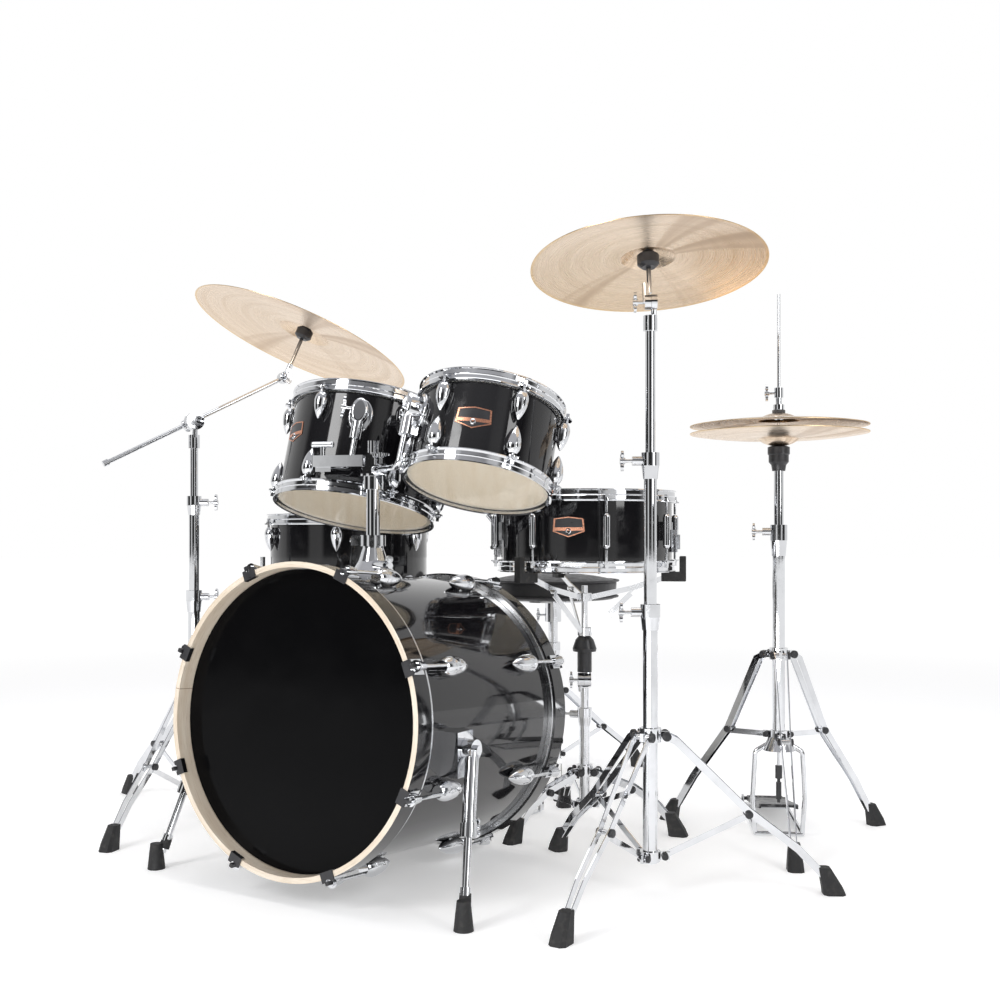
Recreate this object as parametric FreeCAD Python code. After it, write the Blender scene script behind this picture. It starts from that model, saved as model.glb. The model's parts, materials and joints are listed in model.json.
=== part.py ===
import FreeCAD, Part
import math
import os

# Acoustic drum kit, in millimetres.  Kit frame while building: the floor is z = 0, the front face of the
# bass drum is above y = 0, the drummer sits towards +Y and +X is the hi-hat side.  At the end everything is
# shifted so that the origin is the bottom centre of the whole kit's box.

V = FreeCAD.Vector
INCH = 25.4
UP = V(0, 0, 1)
FIT = 0.3            # clearance between parts that slide or turn in each other

# Drums: shell radius, shell length, centre of the drum, lean of its axis and first lug's bearing
SHELL_WALL = 7.0
LIP = 8.0            # how far a metal hoop stands past its head
HOOP_RADIUS = 266.0
BASS_LENGTH = 486.0
BASS_LEAN = 4.1      # degrees, front raised
BASS_CLEAR = 0.4     # rear hoop above the floor
BASS_HEIGHT = (BASS_CLEAR + HOOP_RADIUS * math.cos(math.radians(BASS_LEAN))
               + BASS_LENGTH * math.sin(math.radians(BASS_LEAN)))
BASS = {"radius": 254.0, "length": BASS_LENGTH, "front": V(0, 0, BASS_HEIGHT), "lean": BASS_LEAN}
HIGH_TOM = {"radius": 5.0 * INCH, "length": 159.0, "centre": V(195.0, 310.0, 774.5),
            "lean_x": -0.6, "lean_y": 19.6, "lugs": 6, "first_lug": -95.0, "bracket": -125.0}
MID_TOM = {"radius": 6.0 * INCH, "length": 208.0, "centre": V(-140.5, 388.0, 760.4),
           "lean_x": 0.7, "lean_y": 15.2, "lugs": 6, "first_lug": -88.0, "bracket": -58.0}
FLOOR_TOM = {"radius": 7.0 * INCH, "length": 304.8, "centre": V(-385.0, 652.0, 496.6),
             "lean_x": 0.0, "lean_y": 0.0, "lugs": 6, "first_lug": -60.0}
SNARE = {"radius": 7.0 * INCH, "length": 150.0, "centre": V(192.0, 716.0, 618.0),
         "lean_x": 0.0, "lean_y": 0.0, "lugs": 8, "first_lug": -6.0}

# Stands: where each stands, how wide its feet reach and which way its first foot points
CRASH_STAND = {"at": V(498.0, 359.0, 0), "reach": 311.0, "first_foot": -91.0,
               "hub": 268.0, "low_hub": 62.0, "knee": (166.0, 132.0), "tube": 12.7}
BOOM_STAND = {"at": V(-585.0, 364.0, 0), "reach": 308.0, "first_foot": -75.8,
              "hub": 268.0, "low_hub": 62.0, "knee": (166.0, 132.0), "tube": 12.7}
SNARE_STAND = {"at": V(194.0, 705.0, 0), "reach": 198.0, "first_foot": 11.0,
               "hub": 119.0, "low_hub": 52.0, "knee": (104.0, 84.0), "tube": 11.0}
THRONE = {"at": V(-118.0, 1138.0, 0), "reach": 270.0, "first_foot": -58.0,
          "hub": 218.0, "low_hub": 56.0, "knee": (150.0, 112.0), "tube": 14.0}
HI_HAT = {"at": V(564.0, 843.0, 0), "reach": 250.0, "first_foot": 55.0,
          "hub": 369.0, "low_hub": 206.0, "knee": (108.0, 205.0), "tube": 12.5}

CRASH_RADIUS = 8.0 * INCH
RIDE_RADIUS = 10.0 * INCH
HAT_RADIUS = 7.0 * INCH

nodes = {}


def add(node, *shapes):
    nodes.setdefault(node, []).extend(shapes)


# ---------------------------------------------------------------- helpers

def direction(bearing):
    """Level unit vector at a bearing in degrees from +X."""
    return V(math.cos(math.radians(bearing)), math.sin(math.radians(bearing)), 0)


def leaning(lean_x, lean_y):
    """Unit vector near +Z that leans by the two angles in degrees."""
    return V(math.tan(math.radians(lean_x)), math.tan(math.radians(lean_y)), 1).normalize()


def rod(start, end, radius):
    along = end - start
    return Part.makeCylinder(radius, along.Length, start, along)


def pipe(start, end, radius, bore):
    return rod(start, end, radius).cut(rod(start, end, bore))


def turned(outline):
    """Solid of revolution about Z from (radius, height) corners."""
    corners = [V(r, 0, z) for r, z in outline]
    face = Part.Face(Part.makePolygon(corners + corners[:1]))
    return face.revolve(V(0, 0, 0), UP, 360)


def box(size, centre):
    return Part.makeBox(size[0], size[1], size[2], centre - V(*size) * 0.5)


def placed(shape, at, axis=UP, spin=0.0):
    """Copy of a shape made about +Z, spun about its axis, then stood along axis at a point."""
    copy = shape.copy()
    turn = FreeCAD.Rotation(UP, axis).multiply(FreeCAD.Rotation(UP, spin))
    copy.Placement = FreeCAD.Placement(at, turn).multiply(shape.Placement)
    return copy


def around(shape, angles, at=V(0, 0, 0)):
    """Copies of a shape turned about the vertical line through a point."""
    copies = []
    for angle in angles:
        copy = shape.copy()
        copy.rotate(at, UP, angle)
        copies.append(copy)
    return copies


def fused(first, *others):
    return first.fuse(list(others)).removeSplitter()


def bent_bar(points, radius, bend):
    """Round bar along straight runs joined by arcs."""
    edges = []
    start = points[0]
    for before, corner, after in zip(points, points[1:], points[2:]):
        back = (before - corner).normalize()
        ahead = (after - corner).normalize()
        half = back.getAngle(ahead) / 2
        run = bend / math.tan(half)
        middle = corner + (back + ahead).normalize() * (bend / math.sin(half) - bend)
        edges.append(Part.makeLine(start, corner + back * run))
        edges.append(Part.Arc(corner + back * run, middle, corner + ahead * run).toShape())
        start = corner + ahead * run
    edges.append(Part.makeLine(start, points[-1]))
    section = Part.Wire(Part.makeCircle(radius, points[0], points[1] - points[0]))
    return Part.Wire(edges).makePipeShell([section], True, True)


def strip(path, width, thick):
    """Flat bar standing on edge: path is (radius, height) corners in the XZ plane, thickness across Y."""
    left, right = [], []
    for i, (r, z) in enumerate(path):
        r0, z0 = path[max(i - 1, 0)]
        r1, z1 = path[min(i + 1, len(path) - 1)]
        run = math.hypot(r1 - r0, z1 - z0)
        side = V(-(z1 - z0) / run, 0, (r1 - r0) / run) * (width / 2)
        left.append(V(r, -thick / 2, z) + side)
        right.append(V(r, -thick / 2, z) - side)
    corners = left + right[::-1]
    face = Part.Face(Part.makePolygon(corners + corners[:1]))
    return face.extrude(V(0, thick, 0))


def wing_bolt(start, toward, length, span=26.0):
    """Bolt with a two-lobed wing on its end, the wing's lobes above and below."""
    end = start + toward * length
    shaft = rod(start, end, 3.0)
    hub = rod(end, end + toward * 9.0, 5.5)
    lift = V(0, 0, 1) if abs(toward.z) < 0.9 else V(1, 0, 0)
    lobes = []
    for side in (-1, 1):
        tip = end + toward * 5.0 + lift * (side * span / 2)
        lobes.append(rod(tip - toward * 2.2, tip + toward * 2.2, 6.5))
        lobes.append(rod(end + toward * 4.5, tip, 3.2))
    return fused(shaft, hub, *lobes)


# ---------------------------------------------------------------- drums

def metal_hoop(radius):
    """Triple-flanged hoop of a top head whose bearing edge is at z = 0."""
    return turned([
        (radius + 1.8, -8.0), (radius + 1.8, -10.0), (radius + 4.2, -10.0), (radius + 5.2, -13.0),
        (radius + 8.8, -16.0), (radius + 9.2, -14.4), (radius + 6.4, -11.6), (radius + 6.2, -5.5),
        (radius + 7.4, -4.0), (radius + 6.2, -2.5), (radius + 6.2, 4.6), (radius + 8.8, 6.4),
        (radius + 8.4, LIP), (radius + 4.2, 6.4), (radius + 4.2, -8.0)])


def hoop_ear(radius):
    """Plate that carries a tension rod outside the hoop's lower flange."""
    plate = Part.makeBox(13.0, 18.0, 2.4, V(radius + 6.8, -9.0, -15.6))
    return plate.fuse(Part.makeCylinder(9.0, 2.4, V(radius + ROD_OUT, 0, -15.6)))


ROD_OUT = 13.5       # tension rods run this far outside a shell
ROD_RADIUS = 2.6
LUG_LENGTH = 52.0
LUG_WIDTH = 26.0
LUG_DROP = 22.0      # from bearing edge to the lug's near end


def drum_head(radius):
    """Film with its collar and flesh hoop, for a bearing edge at z = 0."""
    return turned([
        (0, 0.05), (radius + 0.3, 0.05), (radius + 0.3, -16.0), (radius + 3.9, -16.0),
        (radius + 3.9, -10.2), (radius + 0.9, -10.2), (radius + 0.9, 0.5), (0, 0.5)])


def teardrop(length, width):
    """Drop-shaped body standing on its point: the wide end is at z = 0 and the point is below it."""
    wide = 0.36 * length
    top = Part.Arc(V(0.30 * width, 0, 0), V(0.46 * width, 0, -0.4 * wide), V(width / 2, 0, -wide))
    tail = Part.Arc(V(width / 2, 0, -wide), V(0.36 * width, 0, -0.70 * length), V(1.2, 0, -length))
    edges = [Part.makeLine(V(0, 0, 0), V(0.30 * width, 0, 0)), top.toShape(), tail.toShape(),
             Part.makeLine(V(1.2, 0, -length), V(0, 0, -length)),
             Part.makeLine(V(0, 0, -length), V(0, 0, 0))]
    return Part.Face(Part.Wire(edges)).revolve(V(0, 0, 0), UP, 360)


def tom_lug(radius):
    """Separate lug of a tom, hugging its shell, for a bearing edge at z = 0."""
    body = teardrop(LUG_LENGTH, LUG_WIDTH)
    body.translate(V(radius + 9.0, 0, -LUG_DROP))
    foot = box((8.0, 15.0, 0.62 * LUG_LENGTH), V(radius + 3.0, 0, -LUG_DROP - 0.36 * LUG_LENGTH))
    shell = Part.makeCylinder(radius + 0.02, 200.0, V(0, 0, -150.0))
    return body.fuse(foot).cut(shell).removeSplitter()


def tension_rod(radius, length):
    """Key rod from above its hoop ear down into a lug, for a bearing edge at z = 0."""
    out = V(radius + ROD_OUT, 0, 0)
    washer = Part.makeCylinder(6.0, 1.6, out + V(0, 0, -13.2))
    collar = Part.makeCylinder(5.0, 2.4, out + V(0, 0, -11.6))
    key = box((6.0, 6.0, 7.0), out + V(0, 0, -5.7))
    shank = Part.makeCylinder(ROD_RADIUS, length - 11.6, out + V(0, 0, -length))
    return fused(shank, washer, collar, key)


def both_ends(shape, half):
    """A top-end shape for a bearing edge at z = 0, as its top and its mirrored bottom copy."""
    top = shape.copy()
    top.translate(V(0, 0, half))
    return [top, top.mirror(V(0, 0, 0), UP)]


def drum_parts(drum):
    """Shell, heads, hoops and rods of a drum about its own centre, with its axis along +Z."""
    radius, half = drum["radius"], drum["length"] / 2
    angles = [drum["first_lug"] + 360.0 / drum["lugs"] * k for k in range(drum["lugs"])]
    shell = pipe(V(0, 0, -half), V(0, 0, half), radius, radius - SHELL_WALL)
    hoop = metal_hoop(radius)
    ears = around(hoop_ear(radius), angles)
    hoop = hoop.fuse(ears)
    holes = around(Part.makeCylinder(ROD_RADIUS + 0.5, 10.0, V(radius + ROD_OUT, 0, -20.0)), angles)
    hoop = hoop.cut(Part.makeCompound(holes))
    return shell, both_ends(drum_head(radius), half), both_ends(hoop, half), angles


def stand_drum(drum, shapes):
    axis = leaning(drum["lean_x"], drum["lean_y"])
    return [placed(shape, drum["centre"], axis) for shape in shapes]


def drum_point(drum, bearing, radius, height):
    """Point of a standing drum at a bearing about its axis."""
    axis = leaning(drum["lean_x"], drum["lean_y"])
    local = direction(bearing) * radius + V(0, 0, height)
    return drum["centre"] + FreeCAD.Rotation(UP, axis).multVec(local)


def build_tom(name, drum, extra=()):
    shell, heads, hoops, angles = drum_parts(drum)
    radius, half = drum["radius"], drum["length"] / 2
    lugs, rods = [], []
    for lug in both_ends(tom_lug(radius), half):
        lugs.extend(around(lug, angles))
    for one in both_ends(tension_rod(radius, LUG_DROP), half):
        rods.extend(around(one, angles))
    add(name + "_shell", *stand_drum(drum, [shell]))
    add(name + "_heads", *stand_drum(drum, heads))
    add(name + "_hoops", *stand_drum(drum, hoops))
    add(name + "_fittings", *stand_drum(drum, lugs + rods + list(extra)))


# ---------------------------------------------------------------- bass drum

HOOP_DEPTH = 38.0
HOOP_WALL = 9.5
HEAD_INSET = 30.0    # from a hoop's outer face to the head
CLAWS = 8
CLAW_FIRST = 22.5
BASS_ROD_OUT = 19.0
BASS_LUG_AT = 92.0   # from a hoop's outer face to the near end of its lug
BASS_LUG_LENGTH = 76.0
BASS_TURN = FreeCAD.Rotation(V(1, 0, 0), -90 - BASS["lean"])


def along_bass(shape):
    """Stands a shape made along +Z from the front face along the bass drum's axis."""
    copy = shape.copy()
    copy.Placement = FreeCAD.Placement(BASS["front"], BASS_TURN).multiply(shape.Placement)
    return copy


def bass_point(depth, bearing, radius):
    """Point at a depth behind the front face, at a bearing from +X towards the top."""
    local = V(radius * math.cos(math.radians(bearing)), -radius * math.sin(math.radians(bearing)), depth)
    return BASS["front"] + BASS_TURN.multVec(local)


def claw_hook():
    """Hook claw over the front hoop, at bearing 0, with its open side over the hoop."""
    outer = HOOP_RADIUS + 0.2
    front = box((16.0, 26.0, 2.4), V(outer - 3.0, 0, -1.4))
    back = box((3.0, 26.0, 32.0), V(outer + 1.5, 0, 13.4))
    tongue = box((2.4, 26.0, 9.0), V(HOOP_RADIUS - HOOP_WALL - 1.6, 0, 1.9))
    nose = Part.makeCone(10.0, 6.0, 24.0, V(BASS["radius"] + BASS_ROD_OUT, 0, 6.0), UP)
    keep = box((16.0, 26.0, 40.0), V(outer + 8.2, 0, 13.0))
    return fused(front, back, tongue, nose.common(keep))


def bass_lug():
    """Large drop-shaped lug behind the front hoop, at bearing 0, its point towards the shell's middle."""
    body = teardrop(BASS_LUG_LENGTH, 34.0)
    body.rotate(V(0, 0, 0), V(1, 0, 0), 180)
    body.translate(V(BASS["radius"] + 11.0, 0, BASS_LUG_AT))
    foot = box((9.0, 22.0, 44.0), V(BASS["radius"] + 3.5, 0, BASS_LUG_AT + 26.0))
    shell = Part.makeCylinder(BASS["radius"] + 0.02, BASS["length"])
    return body.fuse(foot).cut(shell).removeSplitter()


def bass_rod():
    """Key rod from in front of its claw to its lug, at bearing 0."""
    out = V(BASS["radius"] + BASS_ROD_OUT, 0, 0)
    key = box((6.5, 6.5, 9.0), out + V(0, 0, -2.5))
    collar = Part.makeCylinder(6.0, 4.0, out + V(0, 0, 2.0))
    shank = Part.makeCylinder(3.2, BASS_LUG_AT - 6.0, out + V(0, 0, 6.0))
    return fused(shank, collar, key)


def build_bass():
    length, radius = BASS["length"], BASS["radius"]
    inset = HEAD_INSET + 0.6
    shell = pipe(V(0, 0, inset), V(0, 0, length - inset), radius, radius - SHELL_WALL)
    post_hole = Part.makeCylinder(POST_RADIUS + 6.0, 80.0, V(0, POST_Y, 500.0))
    add("bass_shell", along_bass(shell).cut(post_hole))
    hoop = pipe(V(0, 0, 0), V(0, 0, HOOP_DEPTH), HOOP_RADIUS, HOOP_RADIUS - HOOP_WALL)
    far = V(0, 0, length / 2)
    add("bass_hoops", along_bass(hoop), along_bass(hoop.mirror(far, UP)))
    flesh = HOOP_DEPTH + 0.3
    head = turned([
        (0, HEAD_INSET), (radius + 1.0, HEAD_INSET), (radius + 1.0, flesh), (radius + 9.0, flesh),
        (radius + 9.0, flesh + 8.0), (radius + 0.4, flesh + 8.0), (radius + 0.4, HEAD_INSET + 0.5),
        (0, HEAD_INSET + 0.5)])
    add("bass_front_head", along_bass(head))
    add("bass_batter_head", along_bass(head.mirror(far, UP)))
    angles = [CLAW_FIRST + 360.0 / CLAWS * k for k in range(CLAWS)]
    claw, lug, key_rod = claw_hook(), bass_lug(), bass_rod()
    key_hole = Part.makeCylinder(3.6, 60.0, V(radius + BASS_ROD_OUT, 0, 4.0))
    seat = Part.makeCylinder(6.4, 12.0, V(radius + BASS_ROD_OUT, 0, -6.0))
    claw = claw.cut(Part.makeCompound([key_hole, seat]))
    for name, shape in (("bass_claws", claw), ("bass_claws", key_rod), ("bass_lugs", lug)):
        for side in (shape, shape.mirror(far, UP)):
            add(name, *[along_bass(copy) for copy in around(side, angles)])


# ---------------------------------------------------------------- spurs

SPUR_DEPTH = 118.0   # behind the bass drum's front face
SPUR_BEARING = -6.0
SPUR_RADIUS = 9.0
SPUR_FOOT = V(335.0, 24.0, 0)


def spur_pivot(side):
    pivot = bass_point(SPUR_DEPTH, SPUR_BEARING, BASS["radius"] + 40.0)
    return V(side * pivot.x, pivot.y, pivot.z)


def build_spur(side, name):
    pivot = spur_pivot(side)
    foot = V(side * SPUR_FOOT.x, SPUR_FOOT.y, 0)
    down = (foot - pivot).normalize()
    out = V(side, 0, 0)
    plate_centre = pivot - out * 26.0
    shell = along_bass(Part.makeCylinder(BASS["radius"] + 0.02, BASS["length"]))
    plate = box((38.0, 46.0, 74.0), plate_centre - out * 6.0 + V(0, 0, -8.0)).cut(shell)
    boss = rod(pivot - out * 20.0, pivot - out * 12.4, 19.0)
    add("bass_brackets", plate.fuse(boss).removeSplitter())
    disc = rod(pivot - out * 12.0, pivot + out * 8.0, 17.0)
    sleeve_end = pivot + down * 118.0
    sleeve = rod(pivot, sleeve_end, SPUR_RADIUS + 2.5)
    collar = rod(sleeve_end, sleeve_end + down * 22.0, SPUR_RADIUS + 4.5)
    leg = rod(sleeve_end, foot - down * 30.0, SPUR_RADIUS - 2.5)
    wing = wing_bolt(sleeve_end + down * 11.0 + V(0, 10.0, 0), V(0, 1, 0), 8.0, 20.0)
    cap = rod(pivot + out * 8.0, pivot + out * 14.0, 8.0)
    add(name, fused(disc, sleeve, collar, leg, wing, cap))
    tip = Part.makeCone(16.0, 11.0, 46.0, foot, V(0, 0, 1))
    lean = Part.makeCone(10.0, 9.0, 26.0, foot - down * 38.0, -down)
    add(name, tip.fuse(lean).removeSplitter().cut(leg))


# ---------------------------------------------------------------- tom post, holder and arms

POST_RADIUS = 12.7
POST_Y = 235.0
POST_TOP = 750.0
POST_BOTTOM = 420.0
PLATE_Z = 537.0
HOLDER_LOW = 720.0
ARM_RADIUS = 5.5
ARM_BEND = 12.0
MID_ARM_Z = 738.0
HIGH_ARM_Z = 729.0
MID_ARM_BEARING = 199.0


def arm_foot(drum, level):
    """Point at a level on the line of the L-rod that carries a tom."""
    line_point = drum_point(drum, drum["bracket"], drum["radius"] + 24.0, 0)
    axis = leaning(drum["lean_x"], drum["lean_y"])
    return line_point + axis * ((level - line_point.z) / axis.z)


def tom_bracket(drum, height):
    """Oval plate and boss on a tom's shell with the clamp that grips the L-rod, about the drum's centre."""
    radius = drum["radius"]
    out = radius + 24.0

    def oval(tall, wide, depth, rounding):
        rim = Part.Ellipse(V(0, 0, 0), tall, wide).toShape()
        pad = Part.Face(Part.Wire(rim)).extrude(V(0, 0, depth))
        pad = pad.makeFillet(rounding, [edge for edge in pad.Edges if edge.BoundBox.ZMin > depth - 1.0])
        pad.Placement = FreeCAD.Placement(V(radius - 7.0, 0, height), FreeCAD.Rotation(V(0, 1, 0), 90))
        return pad
    plate, boss = oval(33.0, 23.0, 12.0, 3.0), oval(26.0, 17.0, 42.0, 7.0)
    sleeve = Part.makeCylinder(ARM_RADIUS + 5.5, 34.0, V(out, 0, height - 54.0))
    neck = box((18.0, 13.0, 26.0), V(radius + 12.0, 0, height - 38.0))
    shell = Part.makeCylinder(radius + 0.02, 400.0, V(0, 0, -200.0))
    bore = Part.makeCylinder(ARM_RADIUS + FIT, 300.0, V(out, 0, -150.0))
    wing = wing_bolt(V(out, -8.0, height + 4.0), V(0, -1, 0), 18.0, 30.0)
    bracket = fused(plate, boss, sleeve, neck, wing).cut(shell).cut(bore)
    return around(bracket, [drum["bracket"]])[0]


def build_tom_mount():
    base = V(0, POST_Y, 0)
    flare = turned([(0, 0), (44.0, 0), (44.0, 4.0), (40.0, 7.0), (27.0, 28.0), (19.0, 52.0), (19.0, 60.0),
                    (0, 60.0)])
    flare.translate(base + V(0, 0, PLATE_Z - 2.0))
    ring = Part.makeCylinder(23.0, 20.0, base + V(0, 0, 590.0))
    lug = box((30.0, 20.0, 18.0), base + V(-22.0, -8.0, 600.0))
    nut = rod(base + V(-37.0, -8.0, 600.0), base + V(-44.0, -8.0, 600.0), 5.0)
    clamp_arm = fused(rod(base + V(10.0, -12.0, 556.0), base + V(62.0, -40.0, 556.0), 9.0),
                      wing_bolt(base + V(62.0, -40.0, 556.0), V(0.88, -0.475, 0), 4.0, 22.0))
    shell = along_bass(Part.makeCylinder(BASS["radius"] + 0.02, BASS["length"]))
    pad = Part.makeCylinder(48.0, 14.0, base + V(0, 0, PLATE_Z - 12.0))
    tube_hole = Part.makeCylinder(POST_RADIUS + FIT, 300.0, base + V(0, 0, 450.0))
    plate = fused(flare, ring, lug, nut, clamp_arm, pad).cut(shell).cut(tube_hole)
    add("bass_brackets", plate)

    post = pipe(base + V(0, 0, POST_BOTTOM), base + V(0, 0, POST_TOP - 30.0), POST_RADIUS, POST_RADIUS - 1.6)
    plug = rod(base + V(0, 0, POST_TOP - 30.0), base + V(0, 0, POST_TOP), POST_RADIUS)
    add("tom_post", fused(post, plug))

    high_foot, mid_foot = arm_foot(HIGH_TOM, HIGH_ARM_Z), arm_foot(MID_TOM, MID_ARM_Z)
    head = Part.makeCylinder(22.0, 37.0, base + V(0, 0, HOLDER_LOW))
    head = head.common(box((39.0, 39.0, 37.0), base + V(0, 0, HOLDER_LOW + 18.5)))
    flange = Part.makeCylinder(25.0, 4.0, base + V(0, 0, HOLDER_LOW - 2.0))
    knob = Part.makeCylinder(10.0, 22.0, base + V(0, 0, HOLDER_LOW + 41.0))
    neck = Part.makeCylinder(6.0, 8.0, base + V(0, 0, HOLDER_LOW + 35.0))
    skirt = Part.makeCylinder(19.0, 26.0, base + V(0, 0, HOLDER_LOW - 26.0))
    mid_out = direction(MID_ARM_BEARING)
    across = direction(MID_ARM_BEARING + 90.0)
    bar = box((100.0, 16.0, 21.0), V(16.0, 20.0, 0))
    bar = bar.makeFillet(4.0, [edge for edge in bar.Edges if edge.BoundBox.XMin > 60.0])
    bar = placed(bar, mid_foot + V(0, 0, 8.0), UP, MID_ARM_BEARING)
    grip = placed(box((30.0, 28.0, 22.0), V(46.0, 4.0, 0)), mid_foot, UP, MID_ARM_BEARING)
    key_foot = mid_foot + mid_out * 46.0 + across * 19.0 + V(0, 0, 17.0)
    key = box((44.0, 10.0, 11.0), V(0, 0, 22.0))
    key = placed(key.makeFillet(4.0, key.Edges), key_foot, UP, MID_ARM_BEARING)
    mid_wing = fused(rod(key_foot, key_foot + V(0, 0, 18.0), 4.5), key)
    out = (high_foot - base - V(0, 0, HIGH_ARM_Z)).normalize()
    high_start = base + V(0, 0, HIGH_ARM_Z)
    boss = rod(high_start + out * 15.0, high_start + out * 54.0, 10.4)
    high_wing = wing_bolt(high_start + out * 42.0 + V(0, 0, 9.0), UP, 12.0, 22.0)
    holder = fused(head, flange, knob, neck, skirt, bar, grip, mid_wing, boss, high_wing)
    post_bore = Part.makeCylinder(POST_RADIUS + FIT, POST_TOP + FIT - HOLDER_LOW + 60.0,
                                  base + V(0, 0, HOLDER_LOW - 60.0))
    mid_bore = rod(mid_foot + mid_out * 10.0, mid_foot + mid_out * 80.0, ARM_RADIUS + FIT)
    high_bore = rod(high_start + out * 24.0, high_start + out * 80.0, ARM_RADIUS + FIT)
    add("tom_holder", holder.cut(Part.makeCompound([post_bore, mid_bore, high_bore])))

    high_axis = leaning(HIGH_TOM["lean_x"], HIGH_TOM["lean_y"])
    mid_axis = leaning(MID_TOM["lean_x"], MID_TOM["lean_y"])
    add("high_tom_arm", bent_bar([high_start + out * 25.0, high_foot, high_foot + high_axis * 118.0],
                                 ARM_RADIUS, ARM_BEND))
    add("mid_tom_arm", bent_bar([mid_foot + mid_out * 64.0, mid_foot, mid_foot + mid_axis * 132.0],
                                ARM_RADIUS, ARM_BEND))


# ---------------------------------------------------------------- stands

def tube_collar(at, low, high, tube, toward):
    """Clamp at the top of a tube: tapered sleeve, ear and wing bolt; it stops a little over the tube."""
    centre = V(at.x, at.y, 0)
    skirt = Part.makeCone(tube + 1.5, tube + 4.0, (high - low) * 0.5, centre + V(0, 0, low))
    head = Part.makeCylinder(tube + 4.5, (high - low) * 0.5, centre + V(0, 0, (high + low) / 2))
    ear = rod(centre + V(0, 0, high - 14.0), centre + toward * (tube + 20.0) + V(0, 0, high - 14.0), 8.0)
    wing = wing_bolt(centre + toward * (tube + 18.0) + V(0, 0, high - 14.0), toward, 14.0, 22.0)
    return fused(skirt, head, ear, wing)


def rubber_foot(reach):
    """Wedge foot at the end of a leg that points along +X."""
    def ring(x, width, depth, z):
        cut = 0.22 * min(width, depth)
        corners = [(-depth / 2, -width / 2 + cut), (-depth / 2 + cut, -width / 2),
                   (depth / 2 - cut, -width / 2), (depth / 2, -width / 2 + cut),
                   (depth / 2, width / 2 - cut), (depth / 2 - cut, width / 2),
                   (-depth / 2 + cut, width / 2), (-depth / 2, width / 2 - cut)]
        points = [V(x + dx, dy, z) for dx, dy in corners]
        return Part.makePolygon(points + points[:1])
    return Part.makeLoft([ring(reach, 30.0, 38.0, 0), ring(reach - 4.0, 28.0, 34.0, 14.0),
                          ring(reach - 17.0, 21.0, 20.0, 46.0)], True, True)


LEG_WIDTH = 13.0
LEG_THICK = 2.0


def tripod(stand):
    """Double-braced tripod: two hubs on a tube, and three legs of two strips with a brace and a foot."""
    at = stand["at"]
    hub, low, tube = stand["hub"], stand["low_hub"], stand["tube"]
    reach = stand["reach"]
    knee_r, knee_z = stand["knee"]
    foot = (reach - 20.0, 34.0)
    path = [(tube + 12.0, hub), (tube + 30.0, hub - 8.0), (knee_r, knee_z + 8.0),
            ((knee_r + 2 * foot[0]) / 3, (knee_z + 8.0 + 2 * foot[1]) / 3 + 8.0), foot]
    spread = 2.0     # degrees each strip turns outward from its foot to the hub
    legs, feet = [], []
    for k in range(3):
        bearing = stand["first_foot"] + 120.0 * k
        pieces = []
        for side in (-1, 1):
            leg = strip(path, LEG_WIDTH, LEG_THICK)
            leg.translate(V(0, side * 4.5, 0))
            leg.rotate(V(reach, 0, 0), UP, -side * spread)
            pieces.append(leg)
        brace_path = [(tube + 10.0, low), (knee_r, knee_z)]
        brace = strip(brace_path, 11.0, 2.0)
        pin = rod(V(knee_r, -12.5, knee_z + 4.0), V(knee_r, 12.5, knee_z + 4.0), 4.5)
        hub_pin = rod(V(tube + 14.0, -16.5, hub), V(tube + 14.0, 16.5, hub), 4.5)
        low_pin = rod(V(tube + 12.0, -8.0, low), V(tube + 12.0, 8.0, low), 3.5)
        shapes = pieces + [brace, pin, hub_pin, low_pin]
        legs.extend(placed(shape, V(at.x, at.y, 0), UP, bearing) for shape in shapes)
        pad = rubber_foot(reach)
        for piece in pieces:
            pad = pad.cut(piece)
        feet.append(placed(pad, V(at.x, at.y, 0), UP, bearing))
    centre = V(at.x, at.y, 0)
    hubs = [rod(centre + V(0, 0, hub - 11.0), centre + V(0, 0, hub + 13.0), tube + 6.0),
            rod(centre + V(0, 0, low - 9.0), centre + V(0, 0, low + 9.0), tube + 5.0)]
    for k in range(3):
        bearing = stand["first_foot"] + 120.0 * k
        for level in (hub, low):
            ear = box((20.0, 6.0, 14.0), V(tube + 11.0, 0, level))
            hubs.append(placed(ear, V(at.x, at.y, 0), UP, bearing))
    add("rubber_feet", *feet)
    return fused(hubs[0], *(hubs[1:] + legs))


def tube_seat(at, low, high, radius, wall=1.4):
    """Open tube standing on a closed bottom."""
    centre = V(at.x, at.y, 0)
    outer = rod(centre + V(0, 0, low), centre + V(0, 0, high), radius)
    bore = rod(centre + V(0, 0, low + 20.0), centre + V(0, 0, high + 1.0), radius - wall)
    return outer, bore


def cymbal(radius, bow, bell_radius, bell, hole=6.5, thick=1.4):
    """Cymbal about +Z with its rim's underside at z = 0; the bow rises to the bell."""
    def skin(lift):
        mid = V(radius * 0.60, 0, bow * 0.80 + lift)
        return [Part.Arc(V(radius, 0, lift), mid, V(bell_radius, 0, bow + lift)).toShape(),
                Part.Arc(V(bell_radius, 0, bow + lift),
                         V(bell_radius * 0.62, 0, bow + bell * 0.72 + lift),
                         V(hole, 0, bow + bell + lift)).toShape()]
    low, top = skin(0), skin(thick)
    edges = low + [Part.makeLine(V(hole, 0, bow + bell), V(hole, 0, bow + bell + thick))]
    edges += top[::-1] + [Part.makeLine(V(radius, 0, thick), V(radius, 0, 0))]
    return Part.Face(Part.Wire(Part.__sortEdges__(edges))).revolve(V(0, 0, 0), UP, 360)


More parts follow.
